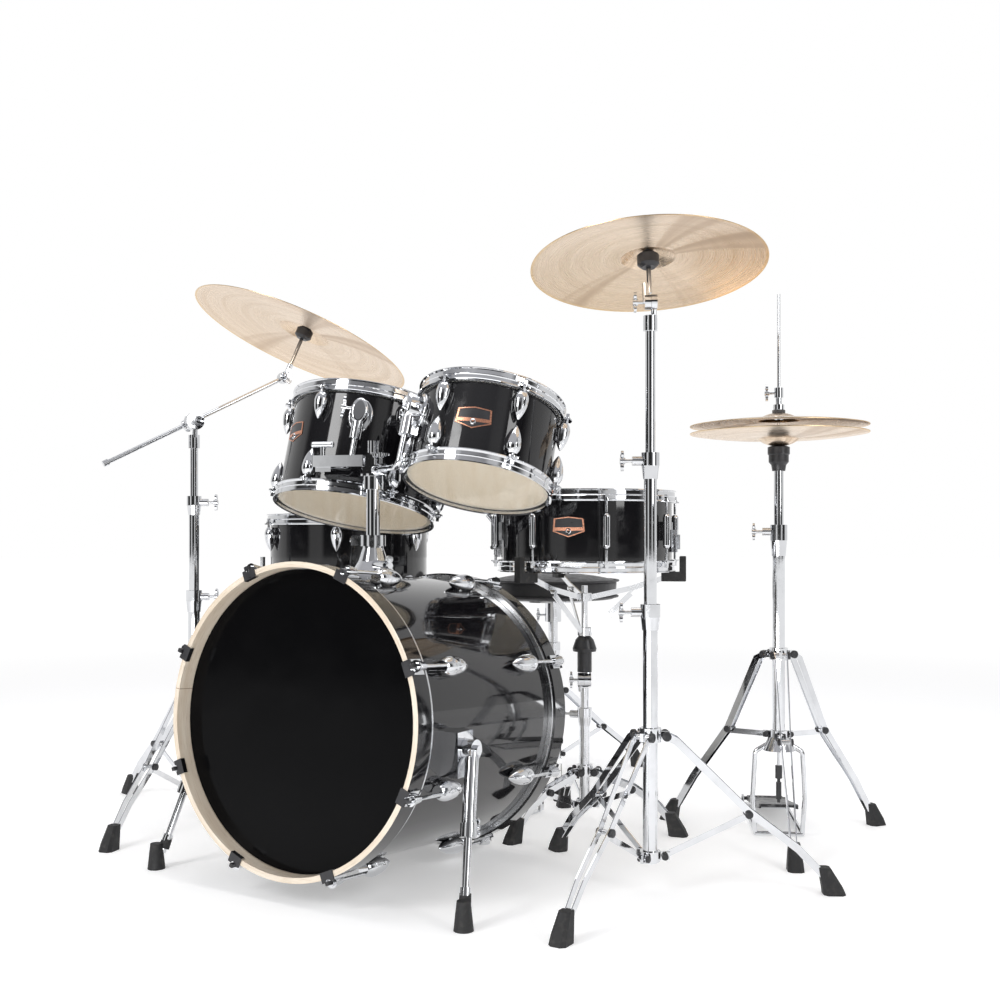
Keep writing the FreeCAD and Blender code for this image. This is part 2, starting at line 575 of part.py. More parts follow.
CRASH_PIVOT = CRASH_STAND["at"] + V(0, 0, 1008.0)
CRASH_STEM = 63.0    # from the tilter's pivot up to the crash cymbal's rim plane
CRASH_AXIS = leaning(-6.9, 8.7)
CRASH = {"bow": 17.0, "bell_radius": 47.0, "bell": 15.0, "axis": CRASH_AXIS,
         "rim": CRASH_PIVOT + CRASH_AXIS * CRASH_STEM}
TILT_AXIS = direction(211.0)
RIDE = {"bow": 20.0, "bell_radius": 60.0, "bell": 18.0, "axis": leaning(13.4, 19.5),
        "rim": V(-464.0, 579.5, 1053.0)}
CYMBAL_GAP = 1.8     # softness of the felts, over which a cymbal rocks


def cymbal_seat(cym, stem, down):
    """Stem through a cymbal with its cup, sleeve and wing nut, in the cymbal's own frame."""
    under = cym["bow"] + cym["bell"] - CYMBAL_GAP
    cup = turned([(0, under - 30.0), (12.0, under - 30.0), (19.0, under - 24.0), (19.0, under - 8.0),
                  (9.0, under), (0, under)])
    sleeve = Part.makeCylinder(3.6, 26.0, V(0, 0, under))
    over = under + CYMBAL_GAP * 2 + 1.4
    felt = turned([(3.6, over), (7.0, over), (14.0, over + 5.0), (14.0, over + 9.0), (3.6, over + 9.0)])
    nut = Part.makeCylinder(7.0, 9.0, V(0, 0, over + 9.0))
    lobes = [box((13.0, 4.0, 12.0), V(side * 11.0, 0, over + 15.0)) for side in (-1, 1)]
    pin = Part.makeCylinder(stem, under - 30.0 + down, V(0, 0, -down))
    tip = Part.makeCylinder(3.0, 12.0, V(0, 0, over + 18.0))
    return fused(cup, sleeve, felt, nut, pin, tip, *lobes)


def build_crash():
    at = CRASH_STAND["at"]
    left = direction(211.0)
    tube = CRASH_STAND["tube"]
    frame = tripod(CRASH_STAND)
    outer, bore = tube_seat(at, 50.0, 470.0, tube)
    collar = tube_collar(at, 448.0, 492.0, tube, left)
    top_bore = rod(V(at.x, at.y, 468.0), V(at.x, at.y, 500.0), 11.3 + FIT)
    add("crash_stand_tripod", fused(frame, outer, collar).cut(bore).cut(top_bore))

    upper_out = rod(V(at.x, at.y, 300.0), V(at.x, at.y, 730.0), 11.0)
    collar = tube_collar(at, 706.0, 751.0, 11.0, left)
    top = rod(V(at.x, at.y, 730.0), V(at.x, at.y, 962.0), 8.5)
    head = rod(V(at.x, at.y, 959.0), V(at.x, at.y, 985.0), 12.0)
    pivot = CRASH_PIVOT
    ratchet = rod(pivot - TILT_AXIS * 11.0, pivot - TILT_AXIS * 1.0, 14.0)
    neck = rod(V(at.x, at.y, 980.0) - TILT_AXIS * 6.0, pivot - TILT_AXIS * 6.0, 5.0)
    hollow = rod(V(at.x, at.y, 280.0), V(at.x, at.y, 700.0), 9.6)
    add("crash_stand_tube", fused(upper_out, collar, top, head, neck, ratchet).cut(hollow))

    turned_disc = rod(pivot - TILT_AXIS * 0.7, pivot + TILT_AXIS * 10.0, 13.0)
    screw = wing_bolt(pivot + TILT_AXIS * 9.0, TILT_AXIS, 12.0, 22.0)
    seat = placed(cymbal_seat(CRASH, 4.0, CRASH_STEM - 17.0), CRASH["rim"], CRASH_AXIS)
    stem = rod(pivot + TILT_AXIS * 7.0, pivot + TILT_AXIS * 7.0 + CRASH_AXIS * 34.0, 6.0)
    add("crash_tilter", fused(turned_disc, screw, stem, seat))
    plate = cymbal(CRASH_RADIUS, CRASH["bow"], CRASH["bell_radius"], CRASH["bell"])
    add("crash_cymbal", placed(plate, CRASH["rim"], CRASH["axis"]))


BOOM_PIVOT = V(-585.0, 364.0, 858.0)
RIDE_STEM = 92.0     # from the ride cymbal's rim plane down its stem to the boom's end
RIDE_JOINT = RIDE["rim"] - RIDE["axis"] * RIDE_STEM
BOOM_DIR = (RIDE_JOINT - BOOM_PIVOT).normalize()
BOOM_SIDE = UP.cross(BOOM_DIR).normalize()
BOOM_TAIL = 200.0


def build_boom():
    at = BOOM_STAND["at"]
    right = direction(31.0)
    tube = BOOM_STAND["tube"]
    frame = tripod(BOOM_STAND)
    outer, bore = tube_seat(at, 50.0, 468.0, tube)
    collar = tube_collar(at, 443.0, 490.0, tube, right)
    top_bore = rod(V(at.x, at.y, 466.0), V(at.x, at.y, 500.0), 11.3 + FIT)
    add("boom_stand_tripod", fused(frame, outer, collar).cut(bore).cut(top_bore))

    middle = rod(V(at.x, at.y, 300.0), V(at.x, at.y, 680.0), 11.0)
    collar = tube_collar(at, 654.0, 695.0, 11.0, right)
    top = rod(V(at.x, at.y, 680.0), BOOM_PIVOT - V(0, 0, 50.0), 8.5)
    socket = rod(BOOM_PIVOT - V(0, 0, 59.0), BOOM_PIVOT - V(0, 0, 30.0), 12.0)
    ratchet = rod(BOOM_PIVOT - BOOM_SIDE * 13.0, BOOM_PIVOT - BOOM_SIDE * 1.0, 19.0)
    neck = rod(BOOM_PIVOT - V(0, 0, 36.0) - BOOM_SIDE * 7.0, BOOM_PIVOT - BOOM_SIDE * 7.0, 6.0)
    hollow = rod(V(at.x, at.y, 280.0), V(at.x, at.y, 650.0), 9.6)
    add("boom_stand_tube", fused(middle, collar, top, socket, neck, ratchet).cut(hollow))

    disc = rod(BOOM_PIVOT - BOOM_SIDE * 0.7, BOOM_PIVOT + BOOM_SIDE * 13.0, 19.0)
    rod_line = BOOM_PIVOT + BOOM_SIDE * 21.0
    sleeve = rod(rod_line - BOOM_DIR * 20.0, rod_line + BOOM_DIR * 20.0, 10.5)
    screw = wing_bolt(rod_line + BOOM_SIDE * 8.0, BOOM_SIDE, 14.0, 26.0)
    bore = rod(rod_line - BOOM_DIR * 40.0, rod_line + BOOM_DIR * 40.0, 4.75 + FIT)
    add("boom_clamp", fused(disc, sleeve, screw).cut(bore))

    end = RIDE_JOINT + BOOM_SIDE * 21.0
    boom = rod(rod_line - BOOM_DIR * BOOM_TAIL, end - BOOM_DIR * 6.0, 4.75)
    cap = rod(rod_line - BOOM_DIR * (BOOM_TAIL + 12.0), rod_line - BOOM_DIR * BOOM_TAIL, 7.0)
    eye = rod(end - BOOM_SIDE * 6.0, end + BOOM_SIDE * 6.0, 13.0)
    add("boom_arm", fused(boom, cap, eye))

    joint = end - BOOM_SIDE * 6.3
    disc = rod(joint, joint - BOOM_SIDE * 12.0, 13.0)
    screw = wing_bolt(joint - BOOM_SIDE * 11.0, BOOM_SIDE * -1, 12.0, 22.0)
    rim = RIDE_AT
    seat = placed(cymbal_seat(RIDE, 4.0, RIDE_STEM - 8.0), rim, RIDE["axis"])
    stem = rod(joint - BOOM_SIDE * 6.0, joint - BOOM_SIDE * 6.0 + RIDE["axis"] * 34.0, 6.0)
    add("ride_tilter", fused(disc, screw, stem, seat))
    plate = cymbal(RIDE_RADIUS, RIDE["bow"], RIDE["bell_radius"], RIDE["bell"])
    add("ride_cymbal", placed(plate, rim, RIDE["axis"]))


RIDE_AT = RIDE["rim"] + BOOM_SIDE * 8.7


# ---------------------------------------------------------------- snare and its stand

STRAINER = 200.0     # bearing of the throw-off; the butt is opposite
WIRES = 20
WIRE_PITCH = 2.1
BASKET_HUB = 481.0
BASKET_LOW = 409.0
SNARE_TILT = 308.0
GRIP_FIRST = 16.5


def snare_lug(radius):
    """Double-ended oval lug at mid-shell."""
    bar = Part.makeCylinder(7.5, 56.0, V(radius + ROD_OUT, 0, -28.0))
    caps = [Part.makeSphere(7.5, V(radius + ROD_OUT, 0, side * 28.0)) for side in (-1, 1)]
    foot = box((14.0, 9.0, 38.0), V(radius + 6.0, 0, 0))
    shell = Part.makeCylinder(radius + 0.02, 120.0, V(0, 0, -60.0))
    return fused(bar, foot, *caps).cut(shell)


def build_snare():
    shell, heads, hoops, angles = drum_parts(SNARE)
    radius, half = SNARE["radius"], SNARE["length"] / 2
    rod_length = half - 36.0
    rods = []
    for one in both_ends(tension_rod(radius, rod_length), half):
        rods.extend(around(one, angles))
    add("snare_shell", *stand_drum(SNARE, [shell]))
    add("snare_heads", *stand_drum(SNARE, heads))
    add("snare_hoops", *stand_drum(SNARE, hoops))
    add("snare_fittings", *stand_drum(SNARE, around(snare_lug(radius), angles) + rods))

    body = box((16.0, 32.0, 92.0), V(radius + 8.2, 0, -4.0))
    knob = Part.makeCylinder(8.0, 14.0, V(radius + 12.0, 0, 42.0))
    foot_plate = box((9.0, 40.0, 4.0), V(radius + 9.0, 0, -52.0))
    butt = box((12.0, 34.0, 46.0), V(radius + 6.2, 0, -20.0))
    cover = box((5.0, 26.0, 30.0), V(radius + 14.7, 0, -22.0))
    cut = Part.makeCylinder(radius + 0.02, 200.0, V(0, 0, -100.0))
    strainer = fused(body, knob, foot_plate).cut(cut)
    butt_plate = butt.fuse(cover).cut(cut)
    add("snare_fittings", *stand_drum(SNARE, around(strainer, [STRAINER])
                                      + around(butt_plate, [STRAINER + 180.0])))
    lever = box((5.0, 12.0, 62.0), V(radius + 21.5, 0, -6.0))
    grip = rod(V(radius + 21.5, 0, 22.0), V(radius + 33.0, 0, 36.0), 5.0)
    pivot_pin = rod(V(radius + 21.0, -9.0, -34.0), V(radius + 21.0, 9.0, -34.0), 4.5)
    add("throw_off_lever", *stand_drum(SNARE, around(fused(lever, grip, pivot_pin), [STRAINER])))

    under = -half - 2.2
    band = [rod(V(-132.0, (k - (WIRES - 1) / 2) * WIRE_PITCH, under),
                V(132.0, (k - (WIRES - 1) / 2) * WIRE_PITCH, under), 0.9) for k in range(WIRES)]
    plates = [box((14.0, 46.0, 2.2), V(side * 139.3, 0, under)) for side in (-1, 1)]
    add("snare_wires", *stand_drum(SNARE, around(Part.makeCompound(band + plates), [STRAINER])))


def build_snare_stand():
    at = SNARE_STAND["at"]
    tube = SNARE_STAND["tube"]
    left = direction(190.0)
    frame = tripod(SNARE_STAND)
    outer, bore = tube_seat(at, 42.0, 240.0, tube)
    collar = tube_collar(at, 214.0, 250.0, tube, left)
    top_bore = rod(V(at.x, at.y, 238.0), V(at.x, at.y, 260.0), 9.3 + FIT)
    add("snare_stand_tripod", fused(frame, outer, collar).cut(bore).cut(top_bore))

    upper = rod(V(at.x, at.y, 120.0), V(at.x, at.y, 291.0), 9.0)
    pivot = V(at.x, at.y, SNARE_TILT)
    ratchet = rod(pivot - SNARE_HINGE * 14.0, pivot - SNARE_HINGE * 1.0, 15.0)
    screw = wing_bolt(pivot - SNARE_HINGE * 13.0, SNARE_HINGE * -1, 10.0, 22.0)
    neck = rod(V(at.x, at.y, 284.0) - SNARE_HINGE * 7.5, pivot - SNARE_HINGE * 7.5, 6.0)
    hollow = rod(V(at.x, at.y, 100.0), V(at.x, at.y, 280.0), 7.6)
    add("snare_stand_tube", fused(upper, neck, ratchet, screw).cut(hollow))

    disc = rod(pivot - SNARE_HINGE * 0.7, pivot + SNARE_HINGE * 13.0, 15.0)
    centre = V(at.x, at.y, 0)
    block = Part.makeCylinder(15.0, 42.0, centre + V(0, 0, 325.0))
    link = rod(pivot + SNARE_HINGE * 8.0, centre + SNARE_HINGE * 8.0 + V(0, 0, 330.0), 6.0)
    dome = turned([(0, 0), (24.0, 0), (25.0, 6.0), (19.0, 24.0), (12.0, 32.0), (0, 32.0)])
    dome.translate(centre + V(0, 0, 368.0))
    stem = rod(centre + V(0, 0, 360.0), centre + V(0, 0, 505.0), 6.5)
    hubs = [rod(centre + V(0, 0, level - 8.0), centre + V(0, 0, level + 8.0), 15.0)
            for level in (BASKET_HUB, BASKET_LOW)]
    seat = SNARE["centre"]
    under = seat.z - SNARE["length"] / 2 - LIP
    arms, grips = [], []
    for k in range(3):
        bearing = GRIP_FIRST + 120.0 * k
        hold = seat + direction(bearing) * (SNARE["radius"] + 12.0)
        run = V(hold.x - at.x, hold.y - at.y, 0)
        reach, turn = run.Length, math.degrees(math.atan2(run.y, run.x))
        arm = strip([(14.0, BASKET_HUB), (100.0, BASKET_HUB + 20.0), (reach - 30.0, under - 14.0),
                     (reach + 2.0, under - 12.0)], 11.0, 3.0)
        brace = strip([(14.0, BASKET_LOW), (96.0, BASKET_HUB + 8.0)], 11.0, 3.0)
        brace.translate(V(0, 4.5, 0))
        pin = rod(V(96.0, -3.0, BASKET_HUB + 14.0), V(96.0, 8.0, BASKET_HUB + 14.0), 4.0)
        arms.extend(placed(shape, centre, UP, turn) for shape in (arm, brace, pin))
        outline = [(-32.0, -20.0), (18.0, -20.0), (18.0, 32.0), (5.0, 32.0), (5.0, -0.2), (-32.0, -0.2)]
        corners = [V(reach + out, -8.0, under + rise) for out, rise in outline]
        shape = Part.Face(Part.makePolygon(corners + corners[:1])).extrude(V(0, 16.0, 0))
        across = [edge for edge in shape.Edges if edge.BoundBox.YLength > 15.0]
        shape = shape.makeFillet(2.0, across)
        held = placed(shape, centre, UP, turn)
        for piece in arms[-3:]:
            held = held.cut(piece)
        grips.append(held)
    add("snare_basket", fused(disc, block, link, dome, stem, *(hubs + arms)))
    add("snare_grips", *grips)


SNARE_HINGE = direction(31.0)


# ---------------------------------------------------------------- hi-hat

PEDAL_BEARING = 115.0
PEDAL = direction(PEDAL_BEARING)
PEDAL_SIDE = V(-PEDAL.y, PEDAL.x, 0)
HAT_RIM_LOW = 817.0
HAT_RIM_TOP = 830.5
HAT_BOW = 11.0
HAT_BELL = 14.0
HEEL = HI_HAT["at"] + PEDAL * 262.0 + V(0, 0, 20.0)
TOE = HI_HAT["at"] + V(0, 0, 62.0)


HEEL_PIN = 4.0


def footboard(heel, toe, width, side, pin_reach):
    """Flat ribbed board from its heel pin to its toe."""
    along = (toe - heel)
    length = along.Length
    board = Part.makeBox(length, width, 6.0, V(0, -width / 2, -3.0))
    for edge_y in (-width / 2, width / 2 - 4.0):
        board = board.fuse(Part.makeBox(length, 4.0, 9.0, V(0, edge_y, -3.0)))
    ribs = [Part.makeBox(4.0, width - 24.0, 2.0, V(40.0 + 24.0 * k, -(width - 24.0) / 2, 3.0))
            for k in range(int((length - 70.0) / 24.0))]
    board = board.fuse(ribs).removeSplitter()
    knuckle = rod(V(0, -width / 2, 0), V(0, width / 2, 0), 6.5)
    pin = rod(V(0, -pin_reach, 0), V(0, pin_reach, 0), HEEL_PIN)
    board = board.fuse([knuckle, pin])
    placement = FreeCAD.Placement(heel, FreeCAD.Rotation(along.normalize(), side, V(0, 0, 0), "XYZ"))
    board.Placement = placement
    return board


def build_hi_hat():
    at = HI_HAT["at"]
    tube = HI_HAT["tube"]
    frame = tripod(HI_HAT)
    body = rod(V(at.x, at.y, 188.0), V(at.x, at.y, 612.0), tube)
    collar = tube_collar(at, 568.0, 631.0, tube, direction(200.0))
    yoke = Part.makeCone(34.0, 20.0, 26.0, V(at.x, at.y, 176.0))
    arms = []
    for side in (-1, 1):
        def point(out, z):
            return V(at.x, at.y, z) + PEDAL_SIDE * (side * out)
        arms.append(bent_bar([point(24.0, 186.0), point(47.0, 172.0), point(52.0, 80.0), point(47.0, 9.0)],
                             5.0, 12.0))
        rail_end = HEEL + PEDAL_SIDE * (side * 47.0)
        arms.append(rod(point(47.0, 6.0), V(rail_end.x, rail_end.y, 6.0), 5.0))
    heel_low = V(HEEL.x, HEEL.y, 6.0)
    toe_bar = rod(V(at.x, at.y, 6.0) - PEDAL_SIDE * 47.0, V(at.x, at.y, 6.0) + PEDAL_SIDE * 47.0, 4.0)
    plate = placed(box((24.0, 104.0, 8.0), V(0, 0, 0)), heel_low + V(0, 0, -1.5), UP, PEDAL_BEARING)
    ears = [placed(box((14.0, 5.0, 24.0), V(0, side * 48.5, 0)), heel_low + V(0, 0, 10.0), UP, PEDAL_BEARING)
            for side in (-1, 1)]
    bore = rod(V(at.x, at.y, 150.0), V(at.x, at.y, 556.0), 6.0)
    wide = rod(V(at.x, at.y, 390.0), V(at.x, at.y, 700.0), 9.5 + FIT)
    heel_bore = rod(HEEL - PEDAL_SIDE * 60.0, HEEL + PEDAL_SIDE * 60.0, HEEL_PIN + FIT)
    low_frame = fused(frame, body, collar, yoke, toe_bar, plate, *(arms + ears))
    add("hi_hat_frame", low_frame.cut(bore).cut(wide).cut(heel_bore))

    upper = rod(V(at.x, at.y, 480.0), V(at.x, at.y, 742.0), 9.5)
    cup = turned([(0, 740.0), (13.0, 740.0), (15.0, 752.0), (20.0, 758.0), (20.0, 772.0), (22.0, 774.0),
                  (22.0, 788.0), (17.0, 790.0), (0, 790.0)])
    cup.translate(V(at.x, at.y, 0))
    hollow = rod(V(at.x, at.y, 470.0), V(at.x, at.y, 800.0), 6.0)
    add("hi_hat_tube", fused(upper, cup).cut(hollow))

    plate = cymbal(HAT_RADIUS, HAT_BOW, 42.0, HAT_BELL, 7.0)
    low = plate.mirror(V(0, 0, 0), UP)
    low.translate(V(at.x, at.y, HAT_RIM_LOW))
    high = plate.copy()
    high.translate(V(at.x, at.y, HAT_RIM_TOP))
    add("hi_hat_bottom_cymbal", low)
    add("hi_hat_top_cymbal", high)

    pull = rod(V(at.x, at.y, 69.0), V(at.x, at.y, HAT_ROD_TOP), 3.2)
    bell_top = HAT_RIM_TOP + HAT_BOW + HAT_BELL + 1.4
    bell_under = bell_top - 1.4
    felts = [Part.makeCylinder(13.0, 6.0, V(at.x, at.y, bell_top)),
             Part.makeCylinder(13.0, 4.0, V(at.x, at.y, bell_under - 6.0))]
    nut = Part.makeCylinder(9.0, 5.0, V(at.x, at.y, bell_under - 11.0))
    sleeve = Part.makeCylinder(6.0, 46.0, V(at.x, at.y, bell_under - 10.0))
    lock = Part.makeCylinder(11.0, 10.0, V(at.x, at.y, bell_top + 7.0))
    head = Part.makeCylinder(9.0, 20.0, V(at.x, at.y, 888.0))
    wing = wing_bolt(V(at.x, at.y, 898.0) + direction(205.0) * 7.0, direction(205.0), 12.0, 20.0)
    joint = Part.makeCylinder(7.0, 26.0, V(at.x, at.y, 118.0))
    link = Part.makeCylinder(5.5, 34.0, V(at.x, at.y, 76.0))
    add("hi_hat_rod", fused(pull, nut, sleeve, lock, head, wing, joint, link, *felts))

    board = footboard(HEEL, TOE, 78.0, PEDAL_SIDE, 51.0)
    add("hi_hat_footboard", board)


HAT_ROD_TOP = 1098.0


# ---------------------------------------------------------------- kick pedal

KICK_AXLE = V(0, 512.0, 152.0)
KICK_HEEL = V(0, 782.0, 22.0)
KICK_TOE = V(0, 532.0, 102.0)
BEATER_REST = 38.0   # degrees back from upright
BEATER_LENGTH = 146.0


def build_kick_pedal():
    floor_plate = box((92.0, 268.0, 5.0), V(0, 650.0, 3.0))
    hoop_shoe = box((56.0, 36.0, 9.0), V(0, 500.0, 5.0))
    posts = []
    for side in (-1, 1):
        posts.append(box((10.0, 26.0, 158.0), V(side * 52.0, KICK_AXLE.y, 83.0)))
        posts.append(rod(V(side * 47.0, KICK_AXLE.y, KICK_AXLE.z), V(side * 57.0, KICK_AXLE.y, KICK_AXLE.z),
                         15.0))
        posts.append(box((30.0, 40.0, 5.0), V(side * 45.0, KICK_AXLE.y + 4.0, 3.0)))
        posts.append(box((6.0, 16.0, 26.0), V(side * 49.0, KICK_HEEL.y - 4.0, 17.0)))
    axle_bore = rod(KICK_AXLE - V(80, 0, 0), KICK_AXLE + V(80, 0, 0), 5.0 + FIT)
    heel_bore = rod(KICK_HEEL - V(80, 0, 0), KICK_HEEL + V(80, 0, 0), HEEL_PIN + FIT)
    hoop = along_bass(Part.makeCylinder(HOOP_RADIUS + 0.3, BASS["length"] + 0.3))
    add("kick_pedal_frame", fused(floor_plate, hoop_shoe, *posts).cut(axle_bore).cut(heel_bore).cut(hoop))

    board = footboard(KICK_HEEL, KICK_TOE, 84.0, V(-1, 0, 0), 51.0)
    chain_top = V(0, KICK_AXLE.y + 22.0, KICK_AXLE.z - 4.0)
    chain = rod(KICK_TOE + V(0, 2.0, 2.0), chain_top, 3.0)
    add("kick_footboard", fused(board, chain))

    back = math.radians(BEATER_REST)
    up = V(0, math.sin(back), math.cos(back))
    axle = rod(KICK_AXLE - V(56, 0, 0), KICK_AXLE + V(56, 0, 0), 5.0)
    cam = rod(KICK_AXLE - V(7, 0, 0), KICK_AXLE + V(7, 0, 0), 17.0)
    hub = rod(KICK_AXLE + V(12, 0, 0), KICK_AXLE + V(30, 0, 0), 11.0)
    arm = rod(KICK_AXLE + V(21, 0, 0), KICK_AXLE + V(21, 0, 0) + up * (BEATER_LENGTH + 18.0), 3.2)
    centre = KICK_AXLE + V(21, 0, 0) + up * BEATER_LENGTH
    face = V(0, -math.cos(back), math.sin(back))
    felt = rod(centre - face * 16.0, centre + face * 22.0, 23.0)
    felt = felt.makeFillet(6.0, [edge for edge in felt.Edges if edge.Closed and edge.Length > 100.0])
    add("kick_beater", fused(axle, cam, hub, arm.cut(felt)), felt)


# ---------------------------------------------------------------- floor tom

LEG_BEARINGS = (90.0, 210.0, 330.0)
LEG_ROD = 6.0
LEG_OUT = 22.0


def build_floor_tom():
    radius, half = FLOOR_TOM["radius"], FLOOR_TOM["length"] / 2
    base = V(FLOOR_TOM["centre"].x, FLOOR_TOM["centre"].y, 0)
    cut = Part.makeCylinder(radius + 0.02, 400.0, V(0, 0, -200.0))
    pad = box((26.0, 34.0, 60.0), V(radius + 11.0, 0, -30.0))
    grip = Part.makeCylinder(13.0, 40.0, V(radius + LEG_OUT, 0, -50.0))
    wing = wing_bolt(V(radius + LEG_OUT + 10.0, 0, -30.0), V(1, 0, 0), 10.0, 22.0)
    bore = Part.makeCylinder(LEG_ROD + FIT, 400.0, V(radius + LEG_OUT, 0, -200.0))
    bracket = fused(pad, grip, wing).cut(cut).cut(bore)
    build_tom("floor_tom", FLOOR_TOM, around(bracket, LEG_BEARINGS))
    for bearing in LEG_BEARINGS:
        out = direction(bearing)
        top = base + out * (radius + LEG_OUT) + V(0, 0, 560.0)
        bend_high = base + out * (radius + LEG_OUT) + V(0, 0, 190.0)
        bend_low = base + out * (radius + LEG_OUT + 26.0) + V(0, 0, 120.0)
        end = base + out * (radius + LEG_OUT + 26.0) + V(0, 0, 24.0)
        leg = bent_bar([top, bend_high, bend_low, end], LEG_ROD, 30.0)
        tip = Part.makeCone(17.0, 11.0, 48.0, V(end.x, end.y, 0)).cut(leg)
        add("floor_tom_legs", leg)
        add("rubber_feet", tip)


# ---------------------------------------------------------------- throne

SEAT_RADIUS = 165.0
SEAT_TOP = 515.0
SEAT_THICK = 68.0


def build_throne():
    at = THRONE["at"]
    tube = THRONE["tube"]
    frame = tripod(THRONE)
    outer, bore = tube_seat(at, 46.0, 330.0, tube)
    collar = tube_collar(at, 300.0, 340.0, tube, direction(200.0))
    top_bore = rod(V(at.x, at.y, 328.0), V(at.x, at.y, 350.0), 12.3 + FIT)
    add("throne_tripod", fused(frame, outer, collar).cut(bore).cut(top_bore))
    post = rod(V(at.x, at.y, 160.0), V(at.x, at.y, 420.0), 12.0)
    hollow = rod(V(at.x, at.y, 150.0), V(at.x, at.y, 400.0), 10.4)
    add("throne_post", post.cut(hollow))
    pan_low = SEAT_TOP - SEAT_THICK
    clamp = pipe(V(at.x, at.y, 392.0), V(at.x, at.y, 424.0), 21.0, 12.0 + FIT)
    cap = rod(V(at.x, at.y, 424.0), V(at.x, at.y, pan_low - 4.0), 21.0)
    plate = rod(V(at.x, at.y, pan_low - 4.0), V(at.x, at.y, pan_low), 90.0)
    screw = wing_bolt(V(at.x, at.y, 408.0) + direction(200.0) * 19.0, direction(200.0), 14.0, 22.0)
    cushion = Part.makeCylinder(SEAT_RADIUS, SEAT_THICK, V(at.x, at.y, pan_low))
    rims = [edge for edge in cushion.Edges if edge.Closed and edge.Length > 100.0]
    cushion = cushion.makeFillet(18.0, rims)
    add("throne_seat", cushion)
    add("throne_seat_clamp", fused(clamp, cap, plate, screw))


# ---------------------------------------------------------------- the kit

def build_kit():
    build_bass()
    build_spur(1, "spur_right")
    build_spur(-1, "spur_left")
    build_tom_mount()
    build_tom("high_tom", HIGH_TOM, [tom_bracket(HIGH_TOM, 23.0)])
    build_tom("mid_tom", MID_TOM, [tom_bracket(MID_TOM, 44.0)])
    build_floor_tom()
    build_snare()
    build_snare_stand()
    build_crash()
    build_boom()
    build_hi_hat()
    build_kick_pedal()
    build_throne()


def kit_shift():
    """Move that puts the bottom centre of the kit's box at the origin."""
    whole = FreeCAD.BoundBox()
    for shapes in nodes.values():
        for shape in shapes:
            whole.add(shape.optimalBoundingBox(False))
    return V(-(whole.XMin + whole.XMax) / 2, -(whole.YMin + whole.YMax) / 2, -whole.ZMin)


def export_kit():
    os.makedirs("parts", exist_ok=True)
    shift = kit_shift()
    for node, shapes in sorted(nodes.items()):
        whole = shapes[0].copy() if len(shapes) == 1 else Part.makeCompound(shapes)
        whole.translate(shift)
        whole.exportStep("parts/" + node + ".step")
    return shift


build_kit()
SHIFT = export_kit()
print("nodes", len(nodes), "shift", [round(value, 2) for value in SHIFT])
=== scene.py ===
import bpy
import bmesh
import json
import math
from mathutils import Matrix, Vector


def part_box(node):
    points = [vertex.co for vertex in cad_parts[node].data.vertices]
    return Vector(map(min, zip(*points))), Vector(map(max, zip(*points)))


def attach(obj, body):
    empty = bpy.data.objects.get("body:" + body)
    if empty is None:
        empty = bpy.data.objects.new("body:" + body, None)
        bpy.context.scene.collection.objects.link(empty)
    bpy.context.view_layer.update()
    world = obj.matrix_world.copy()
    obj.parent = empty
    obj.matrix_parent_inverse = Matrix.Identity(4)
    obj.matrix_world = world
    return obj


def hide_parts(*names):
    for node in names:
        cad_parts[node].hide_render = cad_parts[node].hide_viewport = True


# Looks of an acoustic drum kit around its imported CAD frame.  Lengths are metres unless a name says _MM.

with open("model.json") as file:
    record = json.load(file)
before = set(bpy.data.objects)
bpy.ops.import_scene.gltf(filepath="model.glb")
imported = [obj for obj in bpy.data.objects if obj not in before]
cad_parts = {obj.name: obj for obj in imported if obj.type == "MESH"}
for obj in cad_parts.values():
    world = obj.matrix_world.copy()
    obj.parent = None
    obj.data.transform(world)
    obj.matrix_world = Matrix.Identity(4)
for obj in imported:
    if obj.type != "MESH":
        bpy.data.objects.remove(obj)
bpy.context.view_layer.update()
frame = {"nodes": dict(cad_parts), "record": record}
MM = 0.001
UP = Vector((0, 0, 1))
JOINTS = {joint["name"]: joint for joint in frame["record"]["behaviour"]["joints"]}
MOUNTS = {mount["name"]: mount for mount in frame["record"]["mounts"]}


def leaning(lean_x, lean_y):
    """Unit vector near +Z that leans by two angles in degrees."""
    return Vector((math.tan(math.radians(lean_x)), math.tan(math.radians(lean_y)), 1)).normalized()


def direction(bearing):
    """Level unit vector at a bearing in degrees from +X."""
    return Vector((math.cos(math.radians(bearing)), math.sin(math.radians(bearing)), 0))


def joint_point(name):
    return Vector(JOINTS[name]["pos_m"])


def joint_axis(name):
    return Vector(JOINTS[name]["axis"]).normalized()


class Round:
    """A CAD node turned about an axis: its centre, radius and half length, and how points lie on it."""

    def __init__(self, node, axis=UP, turn=None):
        self.turn = turn or UP.rotation_difference(axis).to_matrix()
        back = self.turn.transposed()
        points = [back @ vertex.co for vertex in frame["nodes"][node].data.vertices]
        low = Vector([min(point[i] for point in points) for i in range(3)])
        high = Vector([max(point[i] for point in points) for i in range(3)])
        self.centre = self.turn @ ((low + high) / 2)
        self.radius = (high.x - low.x) / 2
        self.half = (high.z - low.z) / 2

    def point(self, bearing, radius, height):
        """Point at a bearing in degrees, a distance from the axis and a height over the centre."""
        return self.centre + self.turn @ (direction(bearing) * radius + UP * height)

    def local(self, point):
        """(distance from the axis, height over the centre) of a point."""
        inner = self.turn.transposed() @ (point - self.centre)
        return math.hypot(inner.x, inner.y), inner.z


